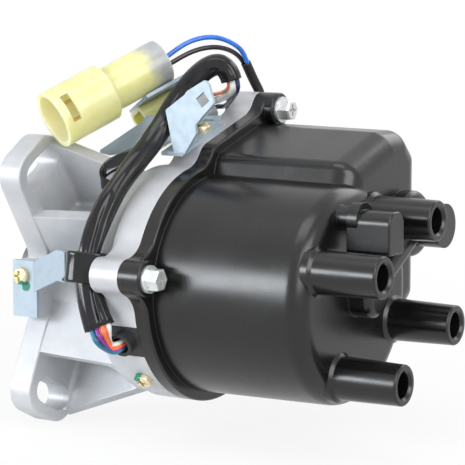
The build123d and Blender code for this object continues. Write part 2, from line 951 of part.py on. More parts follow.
def make_balls():
    """The balls with their cage band, one piece as they orbit together."""
    mid = bearing_pitch_radius()
    half = cage_thickness / 2
    x = bearing_centre_x()
    width = bearing_ball_radius * cage_width_share
    cage = rod(mid + half, x - width, x + width) - rod(mid - half, x - width, x + width)
    for index in range(bearing_ball_count):
        y, z = around(mid, 360 * (index + 0.5) / bearing_ball_count)
        cage += Pos(x, y, z) * Rot(0, 90, 0) * Sphere(bearing_ball_radius)
    return cage


cage_width_share = 1.2


def make_bearing_retainer():
    start = bowl_floor_x
    end = start + retainer_thickness
    plate = rod(retainer_radius, start, end)
    plate -= rod(bearing_shoulder_radius, start - cut_overrun, end + cut_overrun)
    for degrees in retainer_screw_degrees:
        y, z = around(retainer_screw_circle, degrees)
        plate -= rod(small_screw_radius + hole_gap, start - cut_overrun, end + cut_overrun, y, z)
    return plate


def make_retainer_screws():
    screws = []
    for degrees in retainer_screw_degrees:
        y, z = around(retainer_screw_circle, degrees)
        place = Pos(bowl_floor_x + retainer_thickness, y, z)
        screws.append(place * retainer_screw())
    return screws


def retainer_screw():
    """A low flat-head screw, short enough to stay below the signal wheels."""
    shank = rod(small_screw_radius, -small_screw_reach, 0.0)
    return shank + rod(low_head_radius, 0.0, low_head_height)


low_head_radius = 3.4
low_head_height = 1.0


# Signal wheels

def toothed_wheel(x, teeth, thickness, radius):
    body = Circle(wheel_rim_radius + tooth_depth)
    for index in range(teeth):
        tooth = Pos(radius - tooth_depth, 0) * Rectangle(2 * tooth_depth, tooth_width)
        body += Rot(0, 0, 360 * index / teeth) * tooth
    body -= Circle(shaft_radius + running_gap / 5)
    return extrude(section(x) * body, thickness)


def make_wheel(x, teeth, radius, next_x):
    """A signal wheel with the hub that spaces it from the next one."""
    wheel = toothed_wheel(x, teeth, crank_wheel_thickness, radius)
    hub = rod(wheel_hub_radius, x + crank_wheel_thickness, next_x)
    hub -= rod(shaft_radius + running_gap / 5, x, next_x + cut_overrun)
    return wheel + hub


def make_pickup(x, radius, degrees):
    """A pickup: pole, magnet block and coil beside its signal wheel."""
    start = radius + pickup_gap
    pole = Pos(x, start, 0) * Box(
        crank_wheel_thickness,
        pickup_height,
        tooth_width,
        align=(Align.MIN, Align.MIN, Align.CENTER),
    )
    block = Pos(x + crank_wheel_thickness / 2, start + pickup_height * pickup_pole_share, 0) * Box(
        pickup_thickness,
        pickup_height * (1 - pickup_pole_share),
        pickup_width,
        align=(Align.CENTER, Align.MIN, Align.CENTER),
    )
    post = Pos(bowl_floor_x, start + pickup_height * pickup_pole_share, 0) * Box(
        x + crank_wheel_thickness / 2 - bowl_floor_x,
        pickup_height * (1 - pickup_pole_share),
        pickup_width * pickup_post_share,
        align=(Align.MIN, Align.MIN, Align.CENTER),
    )
    return turn_about_shaft(degrees) * (pole + block + post)


pickup_pole_share = 0.35
pickup_post_share = 0.5


def make_igniter():
    block = Pos(bowl_floor_x, 0, -igniter_drop) * Box(
        igniter_length, igniter_width, igniter_height, align=(Align.MIN, Align.CENTER, Align.MAX)
    )
    return block


def make_cover():
    """The thin cover between the signal wheels and the rotor."""
    plate = rod(cap_radius - cap_wall - soft_gap, joint_x, joint_x + cover_thickness)
    plate -= rod(cover_hole_radius, joint_x - cut_overrun, joint_x + cover_thickness + cut_overrun)
    coil = coil_block(soft_gap)
    return plate - coil


# Rotor

def make_rotor():
    skirt = rod(rotor_skirt_radius, rotor_skirt_x, rotor_arm_x + rotor_arm_thickness)
    arm = SlotCenterPoint((0, 0), (rotor_arm_reach - rotor_arm_width / 2, 0), rotor_arm_width)
    tail = Circle(rotor_tail_reach)
    plate = extrude(section(rotor_arm_x) * (arm + tail), rotor_arm_thickness)
    stub = rod(rotor_stub_radius, rotor_arm_x, rotor_top_x)
    body = skirt + plate + stub
    body -= rod(shaft_radius + hole_gap, rotor_skirt_x - cut_overrun, shaft_front_x)
    key = Box(
        shaft_front_x - rotor_skirt_x, shaft_radius, 2 * shaft_radius, align=(Align.MIN, Align.MIN, Align.CENTER)
    )
    key = Pos(rotor_skirt_x, shaft_radius * shaft_flat_share + hole_gap, 0) * key
    body += key & rod(shaft_radius + hole_gap, rotor_skirt_x, shaft_front_x)
    body = body - rotor_blade_shape(hole_gap)
    return turn_about_shaft(rotor_rest_angle) * body


rotor_stub_radius = 5.5


def rotor_blade_shape(growth):
    """The brass blade on the rotor: a strip along the arm with a centre button."""
    reach = tower_circle_radius - terminal_radius - rotor_blade_gap
    start_x = rotor_arm_x + rotor_arm_thickness - rotor_blade_thickness
    strip = Pos(start_x - growth, 0, 0) * Box(
        rotor_blade_thickness + growth,
        reach + growth,
        rotor_blade_width + 2 * growth,
        align=(Align.MIN, Align.MIN, Align.CENTER),
    )
    return strip + rod(rotor_button_radius + growth, start_x - growth, brush_tip_x - running_gap)


rotor_button_radius = 3.2


# Coil

def coil_block(growth):
    """The moulded block around the windings."""
    body = Box(coil_length, coil_width + 2 * growth, coil_height + 2 * growth)
    body = fillet(body.edges().filter_by(Axis.X), coil_width * coil_round_share)
    return Pos(coil_start_x + coil_length / 2, coil_centre_y, coil_centre_z) * body


def make_coil_body():
    body = coil_block(0.0)
    tower = rod(coil_tower_radius, coil_tower_root_x, coil_tower_top_x, post_y, post_z)
    contact_bore = rod(
        coil_contact_radius + seat_gap, coil_tower_top_x - coil_contact_depth, coil_tower_top_x + cut_overrun,
        post_y, post_z
    )
    return body + tower - contact_bore - coil_core_block(seat_gap)


coil_round_share = 0.2
coil_contact_depth = 4.0


def coil_core_block(growth):
    """The laminated core: a bar through the winding."""
    length = coil_length * core_length_share
    block = Box(length + 2 * growth, core_width + 2 * growth, core_bar_height + 2 * growth)
    return Pos(coil_start_x + coil_length / 2, coil_centre_y, coil_centre_z) * block


core_length_share = 0.4


# Side bracket

def bracket_arm_place():
    """The bend line at the plate's front edge, from which the arm swings outwards."""
    return Pos(bracket_plate_front_x - bracket_sheet, pad_front_y, 0) * Rot(0, 0, -bracket_arm_swing)


def make_side_bracket():
    """A bent strip screwed to the flange's edge, with an arm that carries the strap."""
    height = pad_top_z - pad_bottom_z
    length = bracket_plate_front_x - bracket_plate_back_x
    plate = Pos(bracket_plate_back_x, pad_front_y - bracket_sheet, pad_bottom_z) * Box(
        length, bracket_sheet, height, align=(Align.MIN, Align.MIN, Align.MIN)
    )
    low_z = pad_top_z - bracket_arm_depth
    arm_end = bracket_arm_length + strap_seat
    arm_face = make_face(
        Polyline(
            (0.0, low_z),
            (0.0, pad_top_z),
            (bracket_sheet, pad_top_z),
            (bracket_arm_length, pad_top_z + bracket_arm_rise),
            (arm_end, pad_top_z + bracket_arm_rise),
            (arm_end, low_z + bracket_arm_rise),
            (bracket_arm_length, low_z + bracket_arm_rise),
            (bracket_sheet, low_z),
            close=True,
        )
    )
    arm = bracket_arm_place() * extrude(Plane.XZ * arm_face, bracket_sheet)
    hole = Rot(90, 0, 0) * Cylinder(small_screw_radius + hole_gap, 4 * bracket_sheet)
    return plate + arm - Pos(bracket_screw_x, pad_front_y, bracket_screw_z) * hole


def sleeve_frame(index):
    """A plane midway along one run of the sleeve's route, its z along the run."""
    low = Vector(*sleeve_route[index])
    high = Vector(*sleeve_route[index + 1])
    along = (high - low).normalized()
    side = Vector(-along.Z, 0, along.X).normalized()
    return Plane(origin=(low + high) / 2, x_dir=side, z_dir=along)


def strap_band(index, width):
    """A band round the sleeve, midway along one run of its route."""
    outer = sleeve_radius + hole_gap + strap_thickness
    return sleeve_frame(index) * upright(outer, -width / 2, width / 2)


def strap_hole():
    return cord(sleeve_route, sleeve_radius + hole_gap)


def make_side_strap():
    """The rubber-dipped strap: a band round the sleeve, with a tail on the bracket's arm."""
    band = strap_band(1, bracket_arm_depth)
    centre = sleeve_frame(1).origin
    start = bracket_arm_place().position
    run = math.hypot(centre.X - start.X, centre.Y - start.Y)
    low_z = pad_top_z - bracket_arm_depth + bracket_arm_rise
    tail = Pos(bracket_arm_length, -bracket_sheet, low_z) * Box(
        run - bracket_arm_length, strap_thickness, bracket_arm_depth, align=(Align.MIN, Align.MAX, Align.MIN)
    )
    return band + bracket_arm_place() * tail - strap_hole()


def make_side_screw():
    place = Pos(bracket_screw_x, pad_front_y - bracket_sheet, bracket_screw_z)
    return place * Rot(0, 0, -90) * pan_screw(small_screw_reach)


# Top bracket

def sheet_in_xz(points, y, thickness, corner=0.0):
    """A flat sheet whose outline is given in X and Z."""
    face = make_face(Polyline(*points, close=True))
    if corner > 0.0:
        face = fillet(face.vertices(), corner)
    return extrude(Plane.XZ.offset(-y) * face, thickness)


def shared_outline(shares, start_x, start_z, width, height):
    """Outline points in X and Z from shares of a width and a height."""
    return [(start_x + u * width, start_z + v * height) for u, v in shares]


def make_top_bracket():
    """One folded sheet: a foot on the roof, a front blade, a rear wing and a cradle."""
    run = math.hypot(chamber_crest_y - chamber_near_y, chamber_crest_z - chamber_near_z)
    near_y, near_z = roof_place(0.0)
    overhang = (near_y - blade_y) / roof_direction()[0]
    foot = Box(
        foot_end_x - foot_start_x,
        run * foot_far_share + overhang,
        bracket_sheet,
        align=(Align.CENTER, Align.MIN, Align.MIN),
    )
    foot_middle = (foot_start_x + foot_end_x) / 2
    foot = roof_plane(foot_middle, 0.0) * Pos(0, -overhang, 0) * foot
    strip_run = (link_near_y + link_width - near_y) / roof_direction()[0]
    strip = Box(link_lap, strip_run, bracket_sheet, align=(Align.MIN, Align.MIN, Align.MIN))
    foot += roof_plane(foot_start_x, 0.0) * strip
    points = shared_outline(blade_shares, blade_start_x, blade_start_z, blade_width, blade_height)
    blade = sheet_in_xz(points, blade_y + bracket_sheet, bracket_sheet, sheet_corner_round)
    points = shared_outline(wing_shares, wing_start_x, wing_start_z, wing_length, wing_height)
    wing = sheet_in_xz(points, wing_y + bracket_sheet, bracket_sheet, sheet_corner_round)
    window_x = blade_start_x + blade_width * blade_window_share[0]
    window_z = blade_start_z + blade_height * blade_window_share[1]
    window = Pos(window_x, blade_y, window_z) * Rot(0, blade_window_turn, 0) * Box(
        blade_window, 6 * bracket_sheet, blade_window
    )
    hole = top_screw_location() * Cylinder(small_screw_radius + hole_gap, 6 * bracket_sheet)
    return foot + (blade - window) + wing + connector_cradle() - hole


def connector_cradle():
    """A folded arm that passes under, behind and over the second connector."""
    low = second_connector_width / 2
    back = second_connector_height / 2
    sheet = bracket_sheet
    under = Pos(0, 0, -low) * Box(cradle_width, 2 * back, sheet, align=(Align.MIN, Align.CENTER, Align.MAX))
    behind = Pos(0, back, 0) * Box(
        cradle_width, sheet, 2 * low + 2 * sheet, align=(Align.MIN, Align.MIN, Align.CENTER)
    )
    top_sheet = main_connector_height() - main_rear_radius - seat_gap - low
    over = Pos(-cradle_lap, back, low) * Box(
        cradle_width + cradle_lap, 2 * back + cradle_reach, top_sheet, align=(Align.MIN, Align.MAX, Align.MIN)
    )
    cradle = second_connector_plane() * (under + behind + over)
    roof_y, roof_z = roof_place(0.0)
    along_y, along_z = roof_direction()
    link_far_y = link_near_y + link_width
    link_end_z = roof_z + (link_far_y - roof_y) * along_z / along_y
    link = sheet_in_xz(
        [
            (link_start_x, link_start_z),
            (lobe_back_x, link_end_z),
            (foot_start_x + link_lap, link_end_z),
            (foot_start_x + link_lap, link_end_z + sheet),
            (lobe_back_x, link_end_z + sheet),
            (link_start_x, link_start_z + sheet),
        ],
        link_far_y,
        link_width,
    )
    return cradle + link


def make_top_screw():
    location = top_screw_location() * Pos(0, 0, bracket_sheet)
    return location * Rot(0, -90, 0) * pan_screw(small_screw_reach)


# Connectors

def main_connector_height():
    """How far the main connector's axis lies above the second connector's centre."""
    apart = Vector(*main_connector_centre) - Vector(*second_connector_centre)
    return apart.dot(second_connector_plane().z_dir)


def main_connector_plane():
    """Its z runs from the mouth to the rear."""
    return Plane(origin=main_connector_centre, x_dir=view_direction, z_dir=unit(connector_direction))


def second_connector_plane():
    """Its x runs to the rear, its z up across the connector and its -y to the front."""
    rearward = Vector(*unit(connector_direction))
    frontward = Vector(*unit(view_direction))
    upward = rearward.cross(frontward) * -1
    return Plane(origin=second_connector_centre, x_dir=rearward, z_dir=upward)


def upright(radius, start, end):
    """A round bar along a plane's own z."""
    return Pos(0, 0, start) * Cylinder(radius, end - start, align=(Align.CENTER, Align.CENTER, Align.MIN))


def make_main_connector():
    half = main_connector_length / 2
    step = main_mouth_length - half
    body = upright(main_mouth_radius, -half, step)
    body = chamfer(body.faces().sort_by(Axis.Z)[-1].edges(), main_wall)
    body += upright(main_rear_radius, step, half)
    body -= upright(main_mouth_radius - main_wall, -half - cut_overrun, step - main_wall)
    body -= upright(main_rear_radius - main_wall, half - main_seal_length, half + cut_overrun)
    for side in (-1, 1):
        slot = Box(main_pin_width, main_pin_thickness, 2 * main_connector_length)
        body -= Pos(0, side * main_pin_spacing / 2, 0) * slot
    window_z = -half + latch_window_inset + latch_window_length / 2
    body -= Pos(main_mouth_radius, 0, window_z) * Box(
        2 * main_wall + main_mouth_radius, latch_window_width, latch_window_length
    )
    return main_connector_plane() * body


def make_main_seal():
    half = main_connector_length / 2
    seal = upright(main_rear_radius - main_wall - seat_gap, half - main_seal_length, half)
    return main_connector_plane() * seal


def make_main_pins():
    """Two flat blades from the floor of the mouth."""
    half = main_connector_length / 2
    start = -half + main_pin_inset
    end = half - main_seal_length
    pins = []
    for side in (-1, 1):
        blade = Box(
            main_pin_width - 2 * seat_gap,
            main_pin_thickness - 2 * seat_gap,
            end - start,
            align=(Align.CENTER, Align.CENTER, Align.MIN),
        )
        pins.append(main_connector_plane() * Pos(0, side * main_pin_spacing / 2, start) * blade)
    return pins


main_pin_inset = 5.0


def second_block(width, height, start, end, corner):
    block = Box(end - start, height, width, align=(Align.MIN, Align.CENTER, Align.CENTER))
    return Pos(start, 0, 0) * fillet(block.edges().filter_by(Axis.X), corner)


def make_second_connector():
    half = second_connector_length / 2
    width = second_connector_width
    height = second_connector_height
    inner_width = width - 2 * second_wall
    inner_height = height - 2 * second_wall
    corner = second_connector_round - second_wall
    body = second_block(width, height, -half, half, second_connector_round)
    body -= second_block(inner_width, inner_height, -half - cut_overrun, -half * second_depth_share, corner)
    body -= second_block(inner_width, inner_height, half - second_seal_length, half + cut_overrun, corner)
    return second_connector_plane() * body


second_depth_share = 0.1


def make_second_seal():
    half = second_connector_length / 2
    inset = 2 * second_wall + 2 * seat_gap
    corner = second_connector_round - second_wall
    seal = second_block(
        second_connector_width - inset, second_connector_height - inset, half - second_seal_length, half, corner
    )
    return second_connector_plane() * seal


# Harness details

def grommet_block(growth):
    """A rubber block let into the rim, from the joint backwards."""
    outer = cap_radius + rim_ledge
    band = Circle(outer) - Circle(bowl_radius - bowl_wall)
    reach = 2 * outer
    half = math.radians(grommet_span_degrees / 2) + growth / outer
    wedge = make_face(
        Polyline((0, 0), (reach, -reach * math.tan(half)), (reach, reach * math.tan(half)), close=True)
    )
    block = extrude(section(grommet_start_x - growth) * (band & wedge), joint_x - grommet_start_x + growth)
    return turn_about_shaft(grommet_angle) * block


def grommet_axis():
    """A location on the rim whose z points outwards through the grommet."""
    y, z = around(1.0, grommet_angle)
    return Plane(origin=(grommet_x, 0, 0), x_dir=(1, 0, 0), z_dir=(0, y, z))


def make_grommet():
    outer = cap_radius + rim_ledge
    collar = upright(grommet_radius, outer - seal_wall, outer + grommet_length)
    bore = upright(grommet_bore, outer, outer + grommet_length + cut_overrun)
    return grommet_block(0.0) + grommet_axis() * collar - grommet_axis() * bore - make_cap_seal()


def harness_wires():
    """Four wires from the sleeve's end into the grommet."""
    end = Vector(*sleeve_route[0])
    down = (end - Vector(*sleeve_route[1])).normalized()
    across = down.cross(Vector(0, 1, 0)).normalized()
    outward = across.cross(down)
    seat = grommet_axis()
    wires = []
    for column, row in wire_grid:
        start = end + across * (column * wire_spread) + outward * (row * wire_spread)
        bend = start + down * (wire_drop + wire_spread * (1 - row))
        mouth = seat.origin + seat.z_dir * (cap_radius + rim_ledge)
        mouth += seat.x_dir * (column * wire_spread) + seat.y_dir * (row * wire_spread)
        lead = mouth + seat.z_dir * wire_lead
        wires.append(cord([tuple(start), tuple(bend), tuple(lead), tuple(mouth)], harness_wire_radius))
    return wires


wire_grid = ((-1, 1), (1, 1), (-1, -1), (1, -1))
wire_spread = 1.7
wire_drop = 4.5
wire_lead = 5.0


def make_upper_strap():
    """The second strap: a band round the sleeve with a tail up to the bracket's wing."""
    band = strap_band(3, upper_strap_width)
    frame = sleeve_frame(3)
    target = Vector(*upper_strap_tail_end) - frame.origin
    towards = (target - frame.z_dir * target.dot(frame.z_dir)).normalized()
    outer = sleeve_radius + hole_gap + strap_thickness
    tail = Pos(0, outer, 0) * Box(
        upper_strap_tail, strap_thickness, upper_strap_width, align=(Align.MIN, Align.MAX, Align.CENTER)
    )
    return band + Plane(origin=frame.origin, x_dir=towards, z_dir=frame.z_dir) * tail - strap_hole()


upper_strap_tail = 18.0


def ground_screw_location():
    y, z = around(cap_radius + rim_ledge, ground_screw_angle)
    return Pos(ground_screw_x, y, z) * turn_about_shaft(ground_screw_angle) * Rot(0, 0, 90)


def make_spigot_ring():
    """The sealing ring at its squeezed size, as it lies in the engine's bore."""
    deep = ring_section * ring_groove_share
    start_x = ring_groove_x + seat_gap
    end_x = ring_groove_x + ring_section - seat_gap
    ring = rod(spigot_radius, start_x, end_x) - rod(spigot_radius - deep, start_x, end_x)
    return fillet(ring.edges().filter_by(GeomType.CIRCLE), deep * ring_round_share)


ring_round_share = 0.45


pieces = {
    "housing": make_housing(),
    "cap": make_cap(),
    "cap_seal": make_cap_seal(),
    "vent_hood": make_vent_hood(),
    "shaft": make_shaft(),
    "drive_coupling": make_coupling(),
    "coupling_pin": make_coupling_pin(),
    "pin_retainer": make_pin_retainer(),
    "rear_bushing": make_bushing(),
    "oil_seal": make_oil_seal(),
    "bearing_outer_race": make_outer_race(),
    "bearing_inner_race": make_inner_race(),
    "bearing_balls": make_balls(),
    "bearing_retainer": make_bearing_retainer(),
    "crank_wheel": make_wheel(crank_wheel_x, crank_wheel_teeth, crank_wheel_radius, timing_wheel_x),
    "timing_wheel": make_wheel(timing_wheel_x, timing_wheel_teeth, timing_wheel_radius, cylinder_wheel_x),
    "cylinder_wheel": make_wheel(cylinder_wheel_x, 1, timing_wheel_radius, joint_x - coupling_gap),
    "pickup_crank": make_pickup(crank_wheel_x, crank_wheel_radius, pickup_angles[0]),
    "pickup_timing": make_pickup(timing_wheel_x, timing_wheel_radius, pickup_angles[1]),
    "pickup_cylinder": make_pickup(cylinder_wheel_x, timing_wheel_radius, pickup_angles[2]),
    "igniter": make_igniter(),
    "leak_cover": make_cover(),
    "rotor": make_rotor(),
    "rotor_contact": turn_about_shaft(rotor_rest_angle) * rotor_blade_shape(0.0),
    "carbon_brush": make_brush(),
    "brush_spring": make_brush_spring(),
    "coil_body": make_coil_body(),
    "coil_core": coil_core_block(0.0),
    "side_bracket": make_side_bracket(),
    "side_bracket_screw": make_side_screw(),
    "side_strap": make_side_strap(),
    "upper_strap": make_upper_strap(),
    "top_bracket": make_top_bracket(),
    "top_bracket_screw": make_top_screw(),
    "ground_screw": ground_screw_location() * pan_screw(ground_screw_reach),
    "spigot_ring": make_spigot_ring(),
    "connector_main": make_main_connector(),
    "connector_main_seal": make_main_seal(),
    "connector_second": make_second_connector(),
    "connector_second_seal": make_second_seal(),
    "grommet": make_grommet(),
    "harness_sleeve": cord(sleeve_route, sleeve_radius),
    "lead_sleeve": cord(lead_sleeve_route, lead_sleeve_radius),
    "lead_blue": cord(blue_route, wire_radius),
    "lead_black": cord(black_route, wire_radius),
}
for index, pin in enumerate(make_main_pins()):
    pieces[f"connector_pin_{index + 1}"] = pin
for colour, wire in zip(("white", "orange", "violet", "teal"), harness_wires()):
    pieces[f"wire_{colour}"] = wire
for index, screw in enumerate(make_retainer_screws()):
    pieces[f"retainer_screw_{index + 1}"] = screw
for index, place in enumerate(cap_screw_places):
    screw = Pos(joint_x + cap_lug_height, *place) * hex_flange_screw(cap_screw_reach)
    pieces[f"cap_screw_{index + 1}"] = screw
for index, degrees in enumerate(tower_angles):
    pieces[f"tower_terminal_{index + 1}"] = make_tower_terminal(degrees)

for name, shape in pieces.items():
    export_step(shape, f"parts/{name}.step")
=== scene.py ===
import math
from collections import namedtuple

import bmesh
import bpy
from bpy.props import FloatProperty, FloatVectorProperty, PointerProperty
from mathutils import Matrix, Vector, noise


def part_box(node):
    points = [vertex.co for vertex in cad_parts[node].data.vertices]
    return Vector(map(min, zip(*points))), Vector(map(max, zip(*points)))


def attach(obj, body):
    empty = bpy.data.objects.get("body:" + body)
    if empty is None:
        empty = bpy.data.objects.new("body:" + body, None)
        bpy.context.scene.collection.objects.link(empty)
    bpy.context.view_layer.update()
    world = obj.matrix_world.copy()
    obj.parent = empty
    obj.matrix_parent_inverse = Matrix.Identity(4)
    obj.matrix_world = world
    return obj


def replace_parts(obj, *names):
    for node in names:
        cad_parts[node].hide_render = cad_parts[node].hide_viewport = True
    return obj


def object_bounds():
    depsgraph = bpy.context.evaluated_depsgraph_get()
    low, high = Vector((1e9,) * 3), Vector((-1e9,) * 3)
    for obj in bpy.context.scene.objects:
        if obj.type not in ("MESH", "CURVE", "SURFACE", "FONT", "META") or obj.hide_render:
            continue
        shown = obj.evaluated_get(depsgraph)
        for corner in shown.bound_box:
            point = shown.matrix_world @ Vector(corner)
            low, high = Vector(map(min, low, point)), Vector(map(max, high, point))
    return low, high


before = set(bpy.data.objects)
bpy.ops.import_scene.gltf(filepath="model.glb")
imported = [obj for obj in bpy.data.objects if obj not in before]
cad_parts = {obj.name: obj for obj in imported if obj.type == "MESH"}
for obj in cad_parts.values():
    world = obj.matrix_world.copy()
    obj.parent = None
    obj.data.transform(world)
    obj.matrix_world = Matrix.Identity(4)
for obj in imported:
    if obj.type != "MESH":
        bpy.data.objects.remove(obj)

bl_info = {
    "name": "Ignition Distributor",
    "version": (1, 0, 0),
    "blender": (4, 5, 0),
    "location": "3D View > Sidebar > Distributor",
    "description": "Finishes, harness and studio for an ignition distributor on its packed frame",
    "category": "Object",
}

MILLIMETRE = 0.001
LOWEST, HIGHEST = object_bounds()

# Routes of the cords, in millimetres, as in the part's source, but for the last point of the blue
# and the black lead, which run on inside the lead sleeve
SLEEVE_ROUTE = (
    (57.6, -54.5, -12.4),
    (49.6, -53.6, 3.5),
    (50.2, -51.4, 18.5),
    (52.6, -42.0, 36.0),
    (54.6, -26.2, 50.2),
    (55.0, -11.0, 60.8),
    (58.9, -1.2, 75.4),
    (66.2, 3.0, 83.9),
    (73.0, 6.6, 88.9),
    (80.0, 9.4, 88.0),
)
# The sleeve as drawn bends down at its upper end, a few millimetres off the part's route
SLEEVE_LINE = SLEEVE_ROUTE[:7] + (
    (66.0, 4.0, 86.0),
    (72.5, 7.0, 89.8),
    (77.0, 8.6, 86.6),
    (77.8, 9.4, 82.6),
)
LEAD_SLEEVE_ROUTE = (
    (60.8, 47.0, 88.5),
    (62.0, 50.8, 81.5),
    (64.6, 54.4, 73.6),
    (65.3, 55.0, 59.5),
)
BLUE_ROUTE = (
    (42.6, 11.6, 90.6),
    (46.6, 16.9, 95.6),
    (50.8, 23.0, 98.9),
    (55.2, 29.6, 99.9),
    (58.6, 36.4, 98.2),
    (61.6, 42.4, 94.4),
    (61.8, 46.4, 88.9),
    (62.1, 48.6, 85.0),
)
BLACK_ROUTE = (
    (44.3, 12.4, 88.2),
    (48.6, 17.6, 92.2),
    (52.8, 23.8, 94.9),
    (56.6, 30.2, 95.6),
    (58.4, 36.8, 94.4),
    (59.0, 42.8, 92.2),
    (59.7, 47.0, 88.9),
    (60.6, 49.0, 85.0),
)

# Both connectors' rears point this way, and their centres are in metres
CONNECTOR_DIRECTION = Vector((0.4394, 0.7890, 0.4294))
MAIN_CONNECTOR_CENTRE = Vector((0.0294, -0.0100, 0.0780))
SECOND_CONNECTOR_CENTRE = Vector((0.0404, 0.0226, 0.0668))

# Where the grommet's bore meets the rim, in millimetres, and the way out of it
GROMMET_PLACE = Vector((62.5, -44.83, -19.03))
GROMMET_OUTWARD = Vector((0.0, -0.9205, -0.3907))

# Where the straps hold the sleeve, in metres, and the direction across its flat side
SIDE_STRAP_CENTRE = Vector((0.0499, -0.0525, 0.0110))
UPPER_STRAP_CENTRE = Vector((0.0536, -0.0341, 0.0431))
SLEEVE_SIDE = Vector((0.76, 0.55, 0.35))

# How far along the sleeve a strap pinches it and its lower end flares, in metres,
# and the share of its length where the upper end begins to curl
PINCH_REACH = 0.008
FLARE_LENGTH = 0.020
CURL_START = 0.86

# What the pinch, the flare and the curl add to the sleeve's width and depth, as shares of them
PINCH_WIDTH, PINCH_DEPTH = -0.10, -0.06
FLARE_WIDTH, FLARE_DEPTH = 0.32, -0.22
CURL_WIDTH = -0.08

# Scale of the noise that makes the sleeve's ridges: round it, and to a metre along it
RIDGES_ROUND = 1.7
RIDGES_ALONG = 46.0

# Long folds of the sleeve: the angle where one starts and how far it turns, in radians,
# where it begins and ends along the sleeve, in millimetres, its half angle, and its share of the depth
SLEEVE_FOLDS = (
    (-1.25, -0.20, 52.0, 104.0, 0.18, 0.80),
    (-1.05, -0.55, 26.0, 57.0, 0.24, 1.15),
    (-1.80, 0.25, 40.0, 78.0, 0.30, 0.45),
    (-2.10, 0.20, 27.0, 44.0, 0.22, 0.50),
    (-1.35, 0.30, -8.0, 20.0, 0.24, 0.95),
    (-1.70, 0.35, 96.0, 132.0, 0.26, 0.70),
    (0.60, 0.50, 20.0, 90.0, 0.30, 0.60),
    (2.30, -0.40, 50.0, 124.0, 0.30, 0.60),
)

# The side strap lies on the end of its bracket's arm, then goes round the sleeve:
# across the sleeve's width and depth from its centre, in millimetres
SIDE_ARM_END = Vector((35.0, -45.4, 8.75))
SIDE_ARM_LAP = Vector((-2.7, 1.2, 0.0))
SIDE_STRAP_WIDTH = 12.5
SIDE_STRAP_OUTLINE = (
    (-8.2, 8.6),
    (-8.0, 3.6),
    (-7.4, -2.4),
    (-5.0, -4.6),
    (0.0, -5.1),
    (5.2, -4.7),
    (7.1, -1.4),
    (6.8, 3.0),
    (3.2, 5.4),
    (-2.0, 5.8),
    (-5.2, 8.0),
)
# The upper strap, from the top bracket's wing round the sleeve and down, in millimetres
UPPER_STRAP_WIDTH = 6.4
UPPER_STRAP_ACROSS = Vector((-0.15, 0.0, 0.99)).normalized()
UPPER_STRAP_ROUTE = (
    (43.5, -2.6, 55.0),
    (49.5, -10.0, 55.6),
    (53.0, -17.5, 54.8),
    (49.5, -20.8, 52.6),
    (42.5, -20.2, 49.8),
    (37.0, -20.0, 47.6),
    (34.4, -21.4, 44.6),
    (37.0, -24.6, 41.0),
    (42.0, -26.6, 39.6),
    (47.0, -27.0, 38.8),
)

# Wires at the sleeve's lower end: the name, the colour, the place across the sleeve's mouth
# in millimetres, and the thickness as a share of the wires' radius
LOWER_WIRES = (
    ("wire_white", "white", 3.4, 1.15),
    ("wire_orange", "orange", 1.0, 1.45),
    ("wire_violet", "violet", -1.5, 1.05),
    ("wire_teal", "teal", -3.4, 1.05),
)
# Millimetres of such a wire: inside the sleeve, straight out of it, and to its first bend,
# which for each next wire lies further down and further out
WIRE_INSIDE = 4.0
WIRE_STRAIGHT = 0.6
WIRE_BEND = 1.2
WIRE_BEND_DOWN = 1.5
WIRE_BEND_OUT = 0.6
# Where the wires lie in the grommet's bore: the height of the first, and the step down to each next one,
# in millimetres
BORE_TOP = 0.7
BORE_STEP = 1.05
# How a wire passes the grommet's edge: how far out of the bore, how far along the shaft,
# and how much further down each next wire is, in millimetres
BORE_ENTRY = (
    (4.5, -4.4, 0.2),
    (3.3, -0.7, 0.0),
    (-0.5, 0.0, 0.0),
)

# Wires at the sleeve's upper end: the name, the colour, the slot, how far they start from the sleeve's end
# and end from the middle of the connector's rear, in millimetres, and the thickness
UPPER_WIRES = (
    ("upper_white", "white", "wire_white", (0.6, 0.0, 0.0), (1.5, -3.5, -2.0), 1.5),
    ("upper_orange", "orange", "wire_orange", (-1.8, 0.4, 0.6), (-1.5, -1.5, 0.5), 0.9),
    ("upper_navy", "navy", "wire_black", (2.4, 0.6, 0.4), (4.0, -1.0, -4.5), 1.1),
    ("upper_black", "black", "wire_black", (1.0, 2.2, 0.2), (3.0, 1.5, -1.0), 1.0),
)
# The second connector's rear from its centre, and the way of such a wire out of the sleeve
# and, from behind the connector, into its rear, in millimetres
SECOND_CONNECTOR_REAR = 15.0
SLEEVE_EXIT = (
    (-0.6, -0.8, 4.0),
    (0.0, 0.0, 0.0),
    (0.2, 0.6, -4.5),
)
REAR_ENTRY = (
    (7.0, (2.0, 0.0, -2.0)),
    (3.0, (0.0, 0.0, 0.0)),
    (-1.0, (0.0, 0.0, 0.0)),
)

# The lead sleeve's flatness, and its ridges: how many to a metre and their height, in metres
LEAD_SLEEVE_FLATNESS = 0.94
LEAD_SLEEVE_RIDGES = 60.0
LEAD_SLEEVE_RIDGE_HEIGHT = 0.00008

# How far the middle of a bracket screw's head, and of the ground screw's, lies under its outer face
HEAD_DEPTH = 0.0012
GROUND_HEAD_DEPTH = 0.0025
# Dabs of lock paint on the brackets and on the screws: the screw that they are at,
# the way there from the middle of its head and how far the paint reaches, in metres
SHEET_DABS = (
    ("top_bracket_screw", (-0.0030, -0.0024, -0.0020), 0.0036),
    ("side_bracket_screw", (0.0018, 0.0, -0.0040), 0.0024),
)
SCREW_DABS = (
    ("top_bracket_screw", (-0.0020, -0.0028, -0.0004), 0.0032),
    ("side_bracket_screw", (0.0014, -0.0010, -0.0038), 0.0018),
    ("ground_screw", (-0.0020, -0.0016, 0.0030), 0.0030),
)

